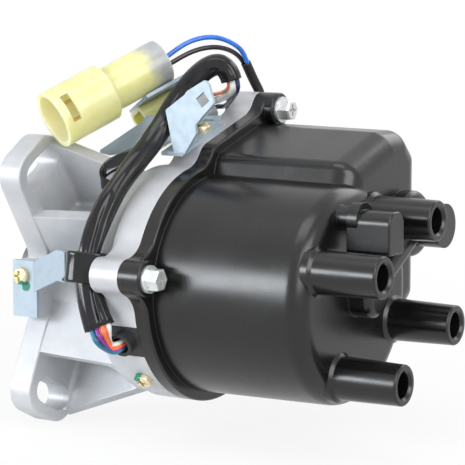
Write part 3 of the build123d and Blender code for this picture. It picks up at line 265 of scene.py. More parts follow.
# Steps round a tube and round a strap's rolled edge, and a wire's steps along and round it
TUBE_STEPS = 72
ROLL_STEPS = 6
CURVE_STEPS = 14
BEVEL_STEPS = 6
# A strap's edge rolls with this share of its thickness as radius, and its faces are flat up to
# this share of its half width
ROLL_SHARE = 0.62
FLAT_SHARE = 0.62

# Lens and sensor in millimetres, the camera's place in metres and the way it looks, as in the photo
CAMERA_LENS = 148.03
SENSOR_WIDTH = 36.0
CAMERA_PLACE = (0.5039, -0.6484, 0.1162)
CAMERA_AIM = Vector((-0.5391, 0.8333, -0.1219))
FAR_CLIP = 20.0

# Half the floor's width, and its glow: the radii, in metres, and the shares at both
FLOOR_REACH = 4.0
GLOW_START, GLOW_END = 0.15, 0.60
GLOW_LOW, GLOW_FULL = 0.84, 1.0

# Colours of the lamps
WHITE = (1.0, 1.0, 1.0)
COOL_WHITE = (0.90, 0.95, 1.0)

# Most values of a noise texture lie between these
NOISE = (0.3, 0.7)
# Cosines between the rounded and the true normal where an edge starts to show and shows in full
EDGE_START, EDGE_FULL = 0.995, 0.90

# Sockets of the mix node while it mixes colours
MIX_FACTOR, MIX_FIRST, MIX_SECOND = 0, 6, 7
MIX_RESULT = 2

Station = namedtuple("Station", "travelled place along side up")
Lamp = namedtuple("Lamp", "name power place width height tone")


def colour(name, description, default):
    return FloatVectorProperty(
        name=name, description=description, default=default, subtype="COLOR", size=3, min=0.0, max=1.0
    )


def length(name, description, millimetres):
    return FloatProperty(
        name=name,
        description=description,
        default=millimetres * MILLIMETRE,
        min=0.0,
        unit="LENGTH",
        precision=5,
    )


def share(name, description, default):
    return FloatProperty(
        name=name, description=description, default=default, min=0.0, max=1.0, subtype="FACTOR"
    )


def power(name, description, default):
    return FloatProperty(name=name, description=description, default=default, min=0.0, unit="POWER")


class CastingSettings(bpy.types.PropertyGroup):
    metal: colour("Metal", "Blasted die-cast aluminium", (0.56, 0.57, 0.59))
    shade: colour("Shade", "Darker patches left by the mould", (0.42, 0.43, 0.45))
    roughness: share("Roughness", "How matt the blasted skin is", 0.44)
    blast_depth: length("Blast depth", "Height of the blasted grain", 0.05)
    edge_radius: length("Edge radius", "Rounding that the edges catch light with", 0.45)


class CapSettings(bpy.types.PropertyGroup):
    plastic: colour("Plastic", "Black glass-filled plastic", (0.0045, 0.0044, 0.0044))
    roughness: share("Roughness", "How matt the moulded skin is", 0.26)
    edge_radius: length("Edge radius", "Rounding that the edges catch light with", 0.5)


class MetalSettings(bpy.types.PropertyGroup):
    zinc: colour("Zinc", "White zinc plating on the screws", (0.70, 0.72, 0.72))
    sheet: colour("Sheet", "Pale blue zinc plating on the brackets", (0.38, 0.46, 0.53))
    gold: colour("Gold", "Yellow passivated screws", (0.80, 0.70, 0.44))
    lock_paint: colour("Lock paint", "Green paint that seals a screw", (0.010, 0.20, 0.12))


class ConnectorSettings(bpy.types.PropertyGroup):
    nylon: colour("Nylon", "Pale yellow translucent nylon", (0.74, 0.73, 0.37))
    # Painted glow: a warmer, brighter colour for the bore's inner wall, in place of the light that comes
    # through the nylon
    inside: colour("Inside", "Warm inner wall that light comes through", (0.95, 0.86, 0.56))
    tail: colour("Tail", "Grey rear end", (0.38, 0.40, 0.41))
    seal: colour("Seal", "Grey silicone seals", (0.10, 0.10, 0.10))


class HarnessSettings(bpy.types.PropertyGroup):
    sleeve_half_width: length("Sleeve half width", "Half of the flattened sleeve's width", 4.7)
    sleeve_half_depth: length("Sleeve half depth", "Half of the flattened sleeve's depth", 3.4)
    sleeve_wrinkle: length("Sleeve wrinkle", "Height of the uneven surface", 0.30)
    sleeve_fold: length("Sleeve fold", "Depth of the long folds", 1.0)
    strap_thickness: length("Strap thickness", "Thickness of the dipped straps", 1.5)
    lead_radius: length("Lead radius", "Radius of the coil's two leads", 1.05)
    lead_sleeve_radius: length("Lead sleeve radius", "Radius of the tube over the two leads", 2.2)
    wire_radius: length("Wire radius", "Radius of the harness wires", 0.95)
    black: colour("Black", "Soft black tubing", (0.0060, 0.0060, 0.0068))
    blue: colour("Blue", "Blue lead", (0.030, 0.20, 0.80))
    white: colour("White", "White wire", (0.82, 0.82, 0.80))
    orange: colour("Orange", "Orange wire", (0.90, 0.17, 0.06))
    violet: colour("Violet", "Violet wire", (0.30, 0.035, 0.30))
    teal: colour("Teal", "Teal wire", (0.01, 0.16, 0.27))
    navy: colour("Navy", "Dark blue wire", (0.012, 0.022, 0.09))


class StudioSettings(bpy.types.PropertyGroup):
    floor: colour("Floor", "Plain pale floor", (0.93, 0.93, 0.93))
    ambient: share("Ambient", "Brightness of the room's own light", 0.40)
    key: power("Key", "Power of the large overhead lamp", 2.8)
    side: power("Side", "Power of the left lamp", 9.0)
    right: power("Right", "Power of the right lamp", 9.0)
    back: power("Back", "Power of the lamp behind", 3.0)


# Finishes


def scaled(tone, factor):
    """A lighter or darker colour."""
    return tuple(min(1.0, factor * value) for value in tone)


class Finish:
    """One material, built from nodes."""

    def __init__(self, name):
        self.material = bpy.data.materials.new(name)
        self.material.use_nodes = True
        self.nodes = self.material.node_tree.nodes
        self.links = self.material.node_tree.links
        self.shader = self.nodes["Principled BSDF"]
        self.place = self.add("ShaderNodeTexCoord").outputs["Object"]
        self.rounding = None

    def add(self, kind, **settings):
        node = self.nodes.new(kind)
        for key, value in settings.items():
            setattr(node, key, value)
        return node

    def feed(self, socket, value):
        if isinstance(value, bpy.types.NodeSocket):
            self.links.new(value, socket)
        elif isinstance(value, (int, float)):
            socket.default_value = value
        else:
            value = tuple(value)
            socket.default_value = value if len(value) == len(socket.default_value) else (*value, 1.0)

    def set(self, **sockets):
        for key, value in sockets.items():
            self.feed(self.shader.inputs[key.replace("_", " ")], value)
        return self

    def grain(self, scale, detail=3.0, stretch=(1.0, 1.0, 1.0), distortion=0.0):
        """Noise with this many cells to a metre."""
        mapping = self.add("ShaderNodeMapping")
        self.feed(mapping.inputs["Vector"], self.place)
        self.feed(mapping.inputs["Scale"], stretch)
        texture = self.add("ShaderNodeTexNoise")
        self.feed(texture.inputs["Vector"], mapping.outputs["Vector"])
        self.feed(texture.inputs["Scale"], scale)
        self.feed(texture.inputs["Detail"], detail)
        self.feed(texture.inputs["Distortion"], distortion)
        return texture.outputs["Fac"]

    def cells(self, scale):
        """Distance to the middle of cells, with this many to a metre."""
        texture = self.add("ShaderNodeTexVoronoi")
        self.feed(texture.inputs["Vector"], self.place)
        self.feed(texture.inputs["Scale"], scale)
        return texture.outputs["Distance"]

    def span(self, value, low, high, start=0.0, end=1.0, smooth=True):
        """Maps a range of a value to another."""
        node = self.add("ShaderNodeMapRange", interpolation_type="SMOOTHSTEP" if smooth else "LINEAR")
        for key, number in (("From Min", low), ("From Max", high), ("To Min", start), ("To Max", end)):
            self.feed(node.inputs[key], number)
        self.feed(node.inputs["Value"], value)
        return node.outputs["Result"]

    def combine(self, operation, first, second=0.0):
        """The result of a math node."""
        node = self.add("ShaderNodeMath", operation=operation)
        self.feed(node.inputs[0], first)
        self.feed(node.inputs[1], second)
        return node.outputs[0]

    def tint(self, factor, first, second):
        """A colour between two, by a factor."""
        node = self.add("ShaderNodeMix", data_type="RGBA")
        self.feed(node.inputs[MIX_FACTOR], factor)
        self.feed(node.inputs[MIX_FIRST], first)
        self.feed(node.inputs[MIX_SECOND], second)
        return node.outputs[MIX_RESULT]

    def wash(self, under, over, where, strength):
        """Lays a colour over another where a value is high, at a strength."""
        return self.tint(self.combine("MULTIPLY", where, strength), under, over)

    def along(self, direction, origin=(0.0, 0.0, 0.0)):
        """How far a point lies along a direction."""
        shift = self.add("ShaderNodeVectorMath", operation="SUBTRACT")
        self.feed(shift.inputs[0], self.place)
        self.feed(shift.inputs[1], origin)
        dot = self.add("ShaderNodeVectorMath", operation="DOT_PRODUCT")
        self.feed(dot.inputs[0], shift.outputs[0])
        self.feed(dot.inputs[1], direction)
        return dot.outputs["Value"]

    def distance(self, origin):
        """How far a point lies from another."""
        node = self.add("ShaderNodeVectorMath", operation="DISTANCE")
        self.feed(node.inputs[0], self.place)
        self.feed(node.inputs[1], origin)
        return node.outputs["Value"]

    def soft_edges(self, radius):
        """Rounds the edges in the shading, and returns where they are, which the finishes tint lighter as
        partly edge wear, partly a painted highlight.
        """
        bevel = self.add("ShaderNodeBevel", samples=4)
        self.feed(bevel.inputs["Radius"], radius)
        self.rounding = bevel.outputs["Normal"]
        geometry = self.add("ShaderNodeNewGeometry")
        dot = self.add("ShaderNodeVectorMath", operation="DOT_PRODUCT")
        self.feed(dot.inputs[0], bevel.outputs["Normal"])
        self.feed(dot.inputs[1], geometry.outputs["Normal"])
        return self.span(dot.outputs["Value"], EDGE_START, EDGE_FULL)

    def relief(self, height, depth, strength=1.0):
        """Fine relief over the rounded edges."""
        bump = self.add("ShaderNodeBump")
        self.feed(bump.inputs["Height"], height)
        self.feed(bump.inputs["Distance"], depth)
        self.feed(bump.inputs["Strength"], strength)
        if self.rounding is not None:
            self.feed(bump.inputs["Normal"], self.rounding)
        self.feed(self.shader.inputs["Normal"], bump.outputs["Normal"])
        return self


def cast_finish(settings):
    finish = Finish("blasted_aluminium")
    edges = finish.soft_edges(settings.edge_radius)
    patches = finish.span(finish.grain(38.0, 4.0), 0.38, 0.66)
    clouds = finish.span(finish.grain(170.0, 3.0), 0.35, 0.7)
    skin = finish.wash(settings.metal, settings.shade, patches, 0.55)
    skin = finish.wash(skin, settings.shade, clouds, 0.25)
    # A lighter tint along the edges: partly edge wear, partly a painted highlight
    skin = finish.wash(skin, scaled(settings.metal, 1.22), edges, 0.55)
    pits = finish.grain(1500.0, 4.0)
    speckle = finish.cells(900.0)
    height = finish.combine("ADD", pits, finish.combine("MULTIPLY", speckle, 0.35))
    matt = finish.span(pits, *NOISE, settings.roughness - 0.07, settings.roughness + 0.09)
    finish.set(Base_Color=skin, Metallic=0.32, Roughness=matt)
    return finish.relief(height, settings.blast_depth, 0.75).material


def cap_finish(settings):
    finish = Finish("satin_black_plastic")
    edges = finish.soft_edges(settings.edge_radius)
    drift = finish.span(finish.grain(24.0, 2.0), *NOISE)
    skin = finish.tint(drift, settings.plastic, scaled(settings.plastic, 1.5))
    # A lighter tint along the edges: partly edge wear, partly a painted highlight
    skin = finish.wash(skin, scaled(settings.plastic, 3.0), edges, 0.35)
    peel = finish.grain(2400.0, 2.0)
    smooth, rubbed = settings.roughness - 0.02, settings.roughness + 0.04
    rub = finish.span(finish.grain(60.0, 2.0), 0.35, 0.75, smooth, rubbed)
    finish.set(Base_Color=skin, Roughness=rub, Specular_IOR_Level=0.5)
    return finish.relief(peel, 0.000005, 0.4).material


def plated_finish(name, tone, roughness, metal=0.6, paint=None, spots=()):
    """Plated steel, with a dab of paint round the given places."""
    finish = Finish(name)
    edges = finish.soft_edges(0.00025)
    cloud = finish.span(finish.grain(260.0, 4.0), 0.35, 0.7)
    skin = finish.wash(tone, scaled(tone, 0.88), cloud, 0.6)
    # A lighter tint along the edges: partly edge wear, partly a painted highlight
    skin = finish.wash(skin, scaled(tone, 1.25), edges, 0.5)
    matt = finish.span(cloud, 0.0, 1.0, roughness - 0.03, roughness + 0.05)
    for place, reach in spots:
        wander = finish.span(finish.grain(260.0, 1.0), *NOISE, -0.0005, 0.0005)
        near = finish.combine("ADD", finish.distance(place), wander)
        dab = finish.span(near, reach + 0.0002, reach - 0.0002)
        skin = finish.tint(dab, skin, paint)
        metal = finish.combine("MULTIPLY", finish.span(dab, 0.0, 1.0, 1.0, 0.0), metal)
    finish.set(Base_Color=skin, Metallic=metal, Roughness=matt)
    return finish.relief(finish.grain(1400.0, 2.0), 0.000004, 0.4).material


def turned_finish(name, tone, roughness):
    """Ground or turned metal with rings round the shaft's axis."""
    finish = Finish(name)
    edges = finish.soft_edges(0.0002)
    rings = finish.grain(2200.0, 2.0, (1.0, 0.04, 0.04))
    skin = finish.tint(finish.span(rings, *NOISE), tone, scaled(tone, 0.82))
    # A lighter tint along the edges: partly edge wear, partly a painted highlight
    skin = finish.wash(skin, scaled(tone, 1.2), edges, 0.4)
    finish.set(Base_Color=skin, Metallic=1.0, Roughness=roughness)
    return finish.relief(rings, 0.000008, 0.5).material


def moulded_finish(name, tone, roughness):
    """A plain moulded plastic or rubber."""
    finish = Finish(name)
    edges = finish.soft_edges(0.0003)
    drift = finish.span(finish.grain(70.0, 3.0), *NOISE)
    skin = finish.tint(drift, tone, scaled(tone, 1.35))
    # A lighter tint along the edges: partly edge wear, partly a painted highlight
    skin = finish.wash(skin, tuple(min(1.0, 2.0 * value + 0.01) for value in tone), edges, 0.3)
    peel = finish.grain(1300.0, 2.0)
    finish.set(Base_Color=skin, Roughness=finish.span(drift, 0.0, 1.0, roughness - 0.04, roughness + 0.05))
    return finish.relief(peel, 0.000015, 0.5).material


def nylon_finish(name, settings, centre, fade_start, fade_end, bore):
    """Translucent nylon with a painted warm glow inside its bore, in place of the light that comes through
    it, that turns grey towards the connector's rear.
    """
    finish = Finish(name)
    edges = finish.soft_edges(0.0004)
    depth = finish.along(CONNECTOR_DIRECTION, centre)
    cloud = finish.span(finish.grain(120.0, 3.0), *NOISE)
    warm = tuple(value * scale for value, scale in zip(settings.nylon, (0.97, 0.95, 0.84)))
    skin = finish.tint(cloud, settings.nylon, warm)
    # A lighter tint along the edges: partly edge wear, partly a painted highlight
    skin = finish.wash(skin, (0.95, 0.95, 0.80), edges, 0.5)
    # Painted glow: the front half of the bore's inner wall is tinted towards a warmer, brighter colour in
    # place of the light that comes through the nylon
    reach = finish.distance(centre)
    reach_square = finish.combine("MULTIPLY", reach, reach)
    depth_square = finish.combine("MULTIPLY", depth, depth)
    off_axis = finish.combine("SQRT", finish.combine("SUBTRACT", reach_square, depth_square))
    inside = finish.span(off_axis, bore + 0.0004, bore - 0.0002)
    inside = finish.combine("MULTIPLY", inside, finish.span(depth, 0.0, -0.001))
    skin = finish.tint(inside, skin, settings.inside)
    wander = finish.span(finish.grain(180.0, 2.0), *NOISE, -0.0012, 0.0012)
    grey = finish.span(finish.combine("ADD", depth, wander), fade_start, fade_end)
    skin = finish.tint(grey, skin, settings.tail)
    finish.set(Base_Color=skin, Roughness=0.30, Subsurface_Weight=0.9, Subsurface_Scale=0.006)
    finish.set(Subsurface_Radius=(1.0, 0.92, 0.50), Coat_Weight=0.2, Coat_Roughness=0.12)
    return finish.relief(finish.grain(420.0, 2.0), 0.00003, 0.5).material


def soft_black_finish(name, tone, roughness, pinch):
    """Soft black tubing or dipped rubber, with fine creases."""
    finish = Finish(name)
    creases = finish.grain(240.0, 4.0, (1.0, 1.0, 0.45), 0.6)
    fine = finish.grain(900.0, 2.0)
    skin = finish.tint(finish.span(creases, *NOISE), tone, scaled(tone, 1.9))
    height = finish.combine("ADD", creases, finish.combine("MULTIPLY", fine, 0.12))
    matt = finish.span(creases, *NOISE, roughness - 0.03, roughness + 0.05)
    finish.set(Base_Color=skin, Roughness=matt, Specular_IOR_Level=0.36)
    return finish.relief(height, pinch, 0.8).material


def insulation_finish(name, tone):
    """The satin insulation of a wire."""
    finish = Finish(name)
    drift = finish.span(finish.grain(160.0, 3.0), *NOISE)
    skin = finish.tint(drift, tone, scaled(tone, 0.78))
    return finish.set(Base_Color=skin, Roughness=0.32, Coat_Weight=0.15, Coat_Roughness=0.22).material


def dress(names, material):
    """Gives nodes of the frame a material."""
    for name in names:
        for material_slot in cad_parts[name].material_slots:
            material_slot.material = material


def all_like(start):
    """The nodes whose names start alike."""
    return [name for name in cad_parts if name.startswith(start)]


# Shapes


def to_metres(points):
    return [Vector(point) * MILLIMETRE for point in points]


def new_piece(name, data, material):
    """A new piece of the object, on the body that doesn't move."""
    piece = bpy.data.objects.new(name, data)
    bpy.context.scene.collection.objects.link(piece)
    data.materials.append(material)
    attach(piece, "root")
    return piece


def route_data(name, points, radius):
    """A smooth curve with the route's points as its control points."""
    data = bpy.data.curves.new(name, "CURVE")
    data.dimensions = "3D"
    spline = data.splines.new("NURBS")
    spline.points.add(len(points) - 1)
    for control, place in zip(spline.points, to_metres(points)):
        control.co = (*place, 1.0)
    spline.order_u = 3
    spline.use_endpoint_u = True
    spline.resolution_u = CURVE_STEPS
    data.bevel_depth = radius
    data.bevel_resolution = BEVEL_STEPS
    data.use_fill_caps = True
    return data


def line_points(points):
    """Places along the smooth line of a route."""
    curve = bpy.data.objects.new("line", route_data("line", points, 0.0))
    mesh = bpy.data.meshes.new_from_object(curve)
    places = [vertex.co.copy() for vertex in mesh.vertices]
    data = curve.data
    bpy.data.objects.remove(curve)
    bpy.data.curves.remove(data)
    bpy.data.meshes.remove(mesh)
    return places


def stations_along(places, first_side):
    """For each place: how far along, the direction, and two directions across."""
    stations = []
    side = Vector(first_side)
    travelled = 0.0
    for index, place in enumerate(places):
        before = places[max(index - 1, 0)]
        after = places[min(index + 1, len(places) - 1)]
        along = (after - before).normalized()
        side = (side - along * side.dot(along)).normalized()
        travelled += (place - before).length
        stations.append(Station(travelled, place, along, side.copy(), along.cross(side)))
    return stations


def skin_rings(name, rings):
    """A closed mesh whose quads join rings of points, smooth shaded."""
    form = bmesh.new()
    made = [[form.verts.new(point) for point in ring] for ring in rings]
    count = len(rings[0])
    for low, high in zip(made, made[1:]):
        for index in range(count):
            follow = (index + 1) % count
            form.faces.new((low[index], low[follow], high[follow], high[index]))
    form.faces.new(list(reversed(made[0])))
    form.faces.new(made[-1])
    bmesh.ops.recalc_face_normals(form, faces=form.faces)
    for face in form.faces:
        face.smooth = True
    mesh = bpy.data.meshes.new(name)
    form.to_mesh(mesh)
    form.free()
    return mesh


def hollow_tube(name, stations, section, wall, depth):
    """A tube whose ends are open to a depth. The section gives two half widths and a lift for an angle."""
    rings = []
    for station in stations:
        ring = []
        for step in range(TUBE_STEPS):
            angle = 2 * math.pi * step / TUBE_STEPS
            wide, deep, lift = section(station.travelled, angle)
            out = station.side * (wide + lift) * math.cos(angle)
            ring.append(station.place + (out + station.up * (deep + lift) * math.sin(angle)))
        rings.append(ring)
    ends = []
    for station, ring, way in ((stations[0], rings[0], 1), (stations[-1], rings[-1], -1)):
        inner = [point + (station.place - point).normalized() * wall for point in ring]
        floor = [point + station.along * way * depth for point in inner]
        ends.append((inner, floor))
    (first_inner, first_floor), (last_inner, last_floor) = ends
    return skin_rings(name, [first_floor, first_inner, *rings, last_inner, last_floor])


def band_section(width, thickness, roll):
    """The outline of a strap: flat, with rolled edges."""
    points = []
    half = width / 2
    for centre, start in ((half - roll, -90.0), (roll - half, 90.0)):
        for step in range(ROLL_STEPS + 1):
            angle = math.radians(start + 180.0 * step / ROLL_STEPS)
            points.append((centre + roll * math.cos(angle), roll * math.sin(angle)))
        way = 1 if start < 0.0 else -1
        flat = way * half * FLAT_SHARE
        points += [(flat, way * thickness / 2), (-flat, way * thickness / 2)]
    return points


def strap_mesh(name, path, across, outline):
    """A strap swept along a path, its width along one direction."""
    rings = []
    for index, place in enumerate(path):
        before = path[max(index - 1, 0)]
        after = path[min(index + 1, len(path) - 1)]
        along = (after - before).normalized()
        normal = along.cross(across).normalized()
        rings.append([place + across * u + normal * v for u, v in outline])
    return skin_rings(name, rings)


def sleeve_stations():
    return stations_along(line_points(SLEEVE_LINE), SLEEVE_SIDE)


def fold_share(reach, angle):
    """How deep the sleeve's folds are at a place along it and an angle, as a share of the depth."""
    total = 0.0
    for start_angle, turn, begin, end, half_angle, depth in SLEEVE_FOLDS:
        passed = (reach - begin) / (end - begin)
        if 0.0 < passed < 1.0:
            gap = math.remainder(angle - start_angle - turn * passed, 2 * math.pi)
            total += depth * math.sin(math.pi * passed) * math.exp(-((gap / half_angle) ** 2))
    return total


def nearest_station(stations, centre):
    return min(stations, key=lambda station: (station.place - centre).length)


# Operators


class DISTRIBUTOR_OT_casting(bpy.types.Operator):
    """Finish the body casting as blasted aluminium"""

    bl_idname = "distributor.casting"
    bl_label = "Body Casting"

    def execute(self, context):
        dress(["housing"], cast_finish(context.scene.distributor_casting))
        return {"FINISHED"}


class DISTRIBUTOR_OT_cap(bpy.types.Operator):
    """Finish the cap and its vent hood as satin black plastic"""

    bl_idname = "distributor.cap"
    bl_label = "Cap"

    def execute(self, context):
        dress(["cap", "vent_hood"], cap_finish(context.scene.distributor_cap))
        return {"FINISHED"}


class DISTRIBUTOR_OT_metalwork(bpy.types.Operator):
    """Finish the screws, brackets and contacts as plated or turned metal"""

    bl_idname = "distributor.metalwork"
    bl_label = "Screws and Brackets"

    def execute(self, context):
        settings = context.scene.distributor_metal
        paint = tuple(settings.lock_paint)
        heads = self.head_places()
        zinc = plated_finish("white_zinc", settings.zinc, roughness=0.30)
        dress(all_like("cap_screw_") + all_like("retainer_screw_"), zinc)
        spots = [(heads[name] + Vector(way), reach) for name, way, reach in SHEET_DABS]
        sheet = plated_finish("pale_zinc_sheet", settings.sheet, 0.52, metal=0.2, paint=paint, spots=spots)
        dress(["side_bracket", "top_bracket", "bearing_retainer"], sheet)
        spots = [(heads[name] + Vector(way), reach) for name, way, reach in SCREW_DABS]
        gold = plated_finish("yellow_passivated", settings.gold, 0.28, metal=0.75, paint=paint, spots=spots)
        dress(["side_bracket_screw", "top_bracket_screw", "ground_screw"], gold)
        aluminium = turned_finish("turned_aluminium", (0.74, 0.74, 0.75), roughness=0.3)
        dress(all_like("tower_terminal_"), aluminium)
        brass = turned_finish("bright_brass", (0.72, 0.53, 0.22), roughness=0.25)
        dress(all_like("connector_pin_") + ["rotor_contact"], brass)
        return {"FINISHED"}

    def head_places(self):
        """The middles of the painted screws' heads."""
        places = {}
        low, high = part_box("top_bracket_screw")
        middle = (low + high) / 2
        places["top_bracket_screw"] = Vector((middle.x, middle.y, high.z - HEAD_DEPTH))
        low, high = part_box("side_bracket_screw")
        middle = (low + high) / 2
        places["side_bracket_screw"] = Vector((middle.x, low.y + HEAD_DEPTH, middle.z))
        low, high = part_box("ground_screw")
        middle = (low + high) / 2
        places["ground_screw"] = Vector((middle.x, low.y + GROUND_HEAD_DEPTH, low.z + GROUND_HEAD_DEPTH))
        return places


class DISTRIBUTOR_OT_inner_parts(bpy.types.Operator):
    """Finish the shaft, bearing, wheels, rotor and coil inside the body"""

    bl_idname = "distributor.inner_parts"
    bl_label = "Inner Parts"

    def execute(self, context):
        ground = turned_finish("ground_steel", (0.52, 0.52, 0.53), 0.24)
        dress(["shaft", "coupling_pin", "pin_retainer", "brush_spring"], ground)
        dress(["drive_coupling"], turned_finish("sintered_steel", (0.20, 0.20, 0.205), 0.5))
        race = turned_finish("bearing_steel", (0.66, 0.66, 0.67), 0.14)
        dress(["bearing_outer_race", "bearing_inner_race", "bearing_balls"], race)
        dress(["rear_bushing"], turned_finish("sintered_bronze", (0.46, 0.27, 0.11), 0.42))
        dress(
            ["crank_wheel", "timing_wheel", "cylinder_wheel", "coil_core"],
            turned_finish("pressed_steel", (0.27, 0.27, 0.28), 0.38),
        )
        inner = moulded_finish("matt_black_moulding", (0.018, 0.018, 0.019), 0.5)
        dress(["pickup_crank", "pickup_timing", "pickup_cylinder", "igniter", "leak_cover"], inner)
        dress(["coil_body"], moulded_finish("coil_resin", (0.022, 0.018, 0.018), 0.3))
        dress(["rotor"], moulded_finish("brown_moulding", (0.055, 0.026, 0.013), 0.4))
        dress(["carbon_brush"], moulded_finish("graphite", (0.02, 0.02, 0.021), 0.45))
        rubber = moulded_finish("black_rubber", (0.014, 0.014, 0.015), 0.48)
        dress(["cap_seal", "oil_seal", "spigot_ring", "grommet"], rubber)
        return {"FINISHED"}


class DISTRIBUTOR_OT_connectors(bpy.types.Operator):
    """Finish the two connectors as pale nylon with grey rears"""

    bl_idname = "distributor.connectors"
    bl_label = "Connectors"

    def execute(self, context):
        settings = context.scene.distributor_connectors
        main = nylon_finish(
            "nylon_main", settings, MAIN_CONNECTOR_CENTRE, fade_start=0.0140, fade_end=0.0235, bore=0.0104
        )
        dress(["connector_main"], main)
        second = nylon_finish(
            "nylon_second", settings, SECOND_CONNECTOR_CENTRE, fade_start=0.0070, fade_end=0.0115, bore=0.0057
        )
        dress(["connector_second"], second)
        seal = moulded_finish("grey_silicone", settings.seal, 0.5)
        dress(["connector_main_seal", "connector_second_seal"], seal)
        return {"FINISHED"}


class DISTRIBUTOR_OT_sleeve(bpy.types.Operator):
    """Make the flattened, creased sleeve over the harness wires"""

    bl_idname = "distributor.sleeve"
    bl_label = "Harness Sleeve"

    def execute(self, context):
        settings = context.scene.distributor_harness
        stations = sleeve_stations()
        whole = stations[-1].travelled
        centres = (SIDE_STRAP_CENTRE, UPPER_STRAP_CENTRE)
        straps = [nearest_station(stations, centre).travelled for centre in centres]

        def section(travelled, angle):
            pinch = sum(math.exp(-(((travelled - strap) / PINCH_REACH) ** 2)) for strap in straps)
            flare = max(0.0, 1.0 - travelled / FLARE_LENGTH)
            curl = max(0.0, (travelled / whole - CURL_START) / (1.0 - CURL_START))
            width_share = 1.0 + PINCH_WIDTH * pinch + FLARE_WIDTH * flare + CURL_WIDTH * curl
            depth_share = 1.0 + PINCH_DEPTH * pinch + FLARE_DEPTH * flare
            wide = settings.sleeve_half_width * width_share
            deep = settings.sleeve_half_depth * depth_share
            across = RIDGES_ROUND * math.cos(angle)
            around = Vector((across, RIDGES_ROUND * math.sin(angle), RIDGES_ALONG * travelled))
            ridge = noise.noise(around) + 0.5 * noise.noise(around * 2.3)
            fold = fold_share(travelled / MILLIMETRE, angle)
            return wide, deep, settings.sleeve_wrinkle * ridge - settings.sleeve_fold * fold

        mesh = hollow_tube("harness_tubing", stations, section, wall=0.0006, depth=0.004)
        material = soft_black_finish("glossy_tubing", settings.black, roughness=0.10, pinch=0.00003)
        piece = new_piece("harness_tubing", mesh, material)
        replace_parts(piece, "harness_sleeve")
        return {"FINISHED"}


class DISTRIBUTOR_OT_leads(bpy.types.Operator):
    """Make the coil's blue and black leads and the tube they enter"""

    bl_idname = "distributor.leads"
    bl_label = "Coil Leads"

    def execute(self, context):
        settings = context.scene.distributor_harness
        radius = settings.lead_sleeve_radius
        stations = stations_along(line_points(LEAD_SLEEVE_ROUTE), (1.0, 0.0, 0.0))

        def section(travelled, angle):
            around = Vector((math.cos(angle), math.sin(angle), LEAD_SLEEVE_RIDGES * travelled))
            ridge = LEAD_SLEEVE_RIDGE_HEIGHT * noise.noise(around)
            return radius, radius * LEAD_SLEEVE_FLATNESS, ridge

        mesh = hollow_tube("lead_tubing", stations, section, wall=0.0005, depth=0.003)
        tubing = soft_black_finish("matt_tubing", settings.black, roughness=0.34, pinch=0.00004)
        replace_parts(new_piece("lead_tubing", mesh, tubing), "lead_sleeve")
        for name, route, tone, slot_name in (
            ("lead_blue", BLUE_ROUTE, settings.blue, "wire_blue"),
            ("lead_black", BLACK_ROUTE, settings.black, "wire_black"),
        ):
            data = route_data(f"{name}_wire", route, settings.lead_radius)
            insulation = insulation_finish(f"{slot_name}_insulation", tone)
            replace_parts(new_piece(f"{name}_wire", data, insulation), name)
        return {"FINISHED"}


class DISTRIBUTOR_OT_wires(bpy.types.Operator):
    """Make the harness wires at both ends of the sleeve"""

    bl_idname = "distributor.wires"
    bl_label = "Harness Wires"

    def execute(self, context):
        settings = context.scene.distributor_harness
        self.make_lower_wires(settings)
        self.make_upper_wires(settings)
        return {"FINISHED"}

    def make_lower_wires(self, settings):
        """From inside the sleeve, over the grommet's edge and down its bore, each outside the last."""
        end = Vector(SLEEVE_LINE[0])
        down = (end - Vector(SLEEVE_LINE[1])).normalized()
        across = (SLEEVE_SIDE - down * SLEEVE_SIDE.dot(down)).normalized()
        outward = down.cross(across)
        rise = GROMMET_OUTWARD.cross(Vector((1.0, 0.0, 0.0)))
        for order, (name, tone, column, size) in enumerate(LOWER_WIRES):
            start = end + across * column
            place = GROMMET_PLACE + rise * (BORE_TOP - BORE_STEP * order)
            bend = down * (WIRE_BEND + WIRE_BEND_DOWN * order) + outward * (WIRE_BEND_OUT * order)
            points = [start - down * WIRE_INSIDE, start + down * WIRE_STRAIGHT, start + bend]
            for out, shift, drop in BORE_ENTRY:
                entry = GROMMET_OUTWARD * out + Vector((shift, 0.0, 0.0)) + down * (drop * order)
                points.append(place + entry)
            data = route_data(f"{name}_lead", points, settings.wire_radius * size)
            insulation = insulation_finish(f"{name}_insulation", getattr(settings, tone))
            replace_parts(new_piece(f"{name}_lead", data, insulation), name)

    def make_upper_wires(self, settings):
        """From inside the sleeve's upper end into the rear of the second connector."""
        top = Vector(SLEEVE_LINE[-1])
        rear = SECOND_CONNECTOR_CENTRE / MILLIMETRE + CONNECTOR_DIRECTION * SECOND_CONNECTOR_REAR
        for name, tone, slot_name, at_sleeve, at_rear, size in UPPER_WIRES:
            start = top + Vector(at_sleeve)
            socket = rear + Vector(at_rear)
            points = [start + Vector(way) for way in SLEEVE_EXIT]
            points += [socket + CONNECTOR_DIRECTION * back + Vector(way) for back, way in REAR_ENTRY]
            data = route_data(name, points, settings.wire_radius * size)
            new_piece(name, data, insulation_finish(f"{name}_insulation", getattr(settings, tone)))


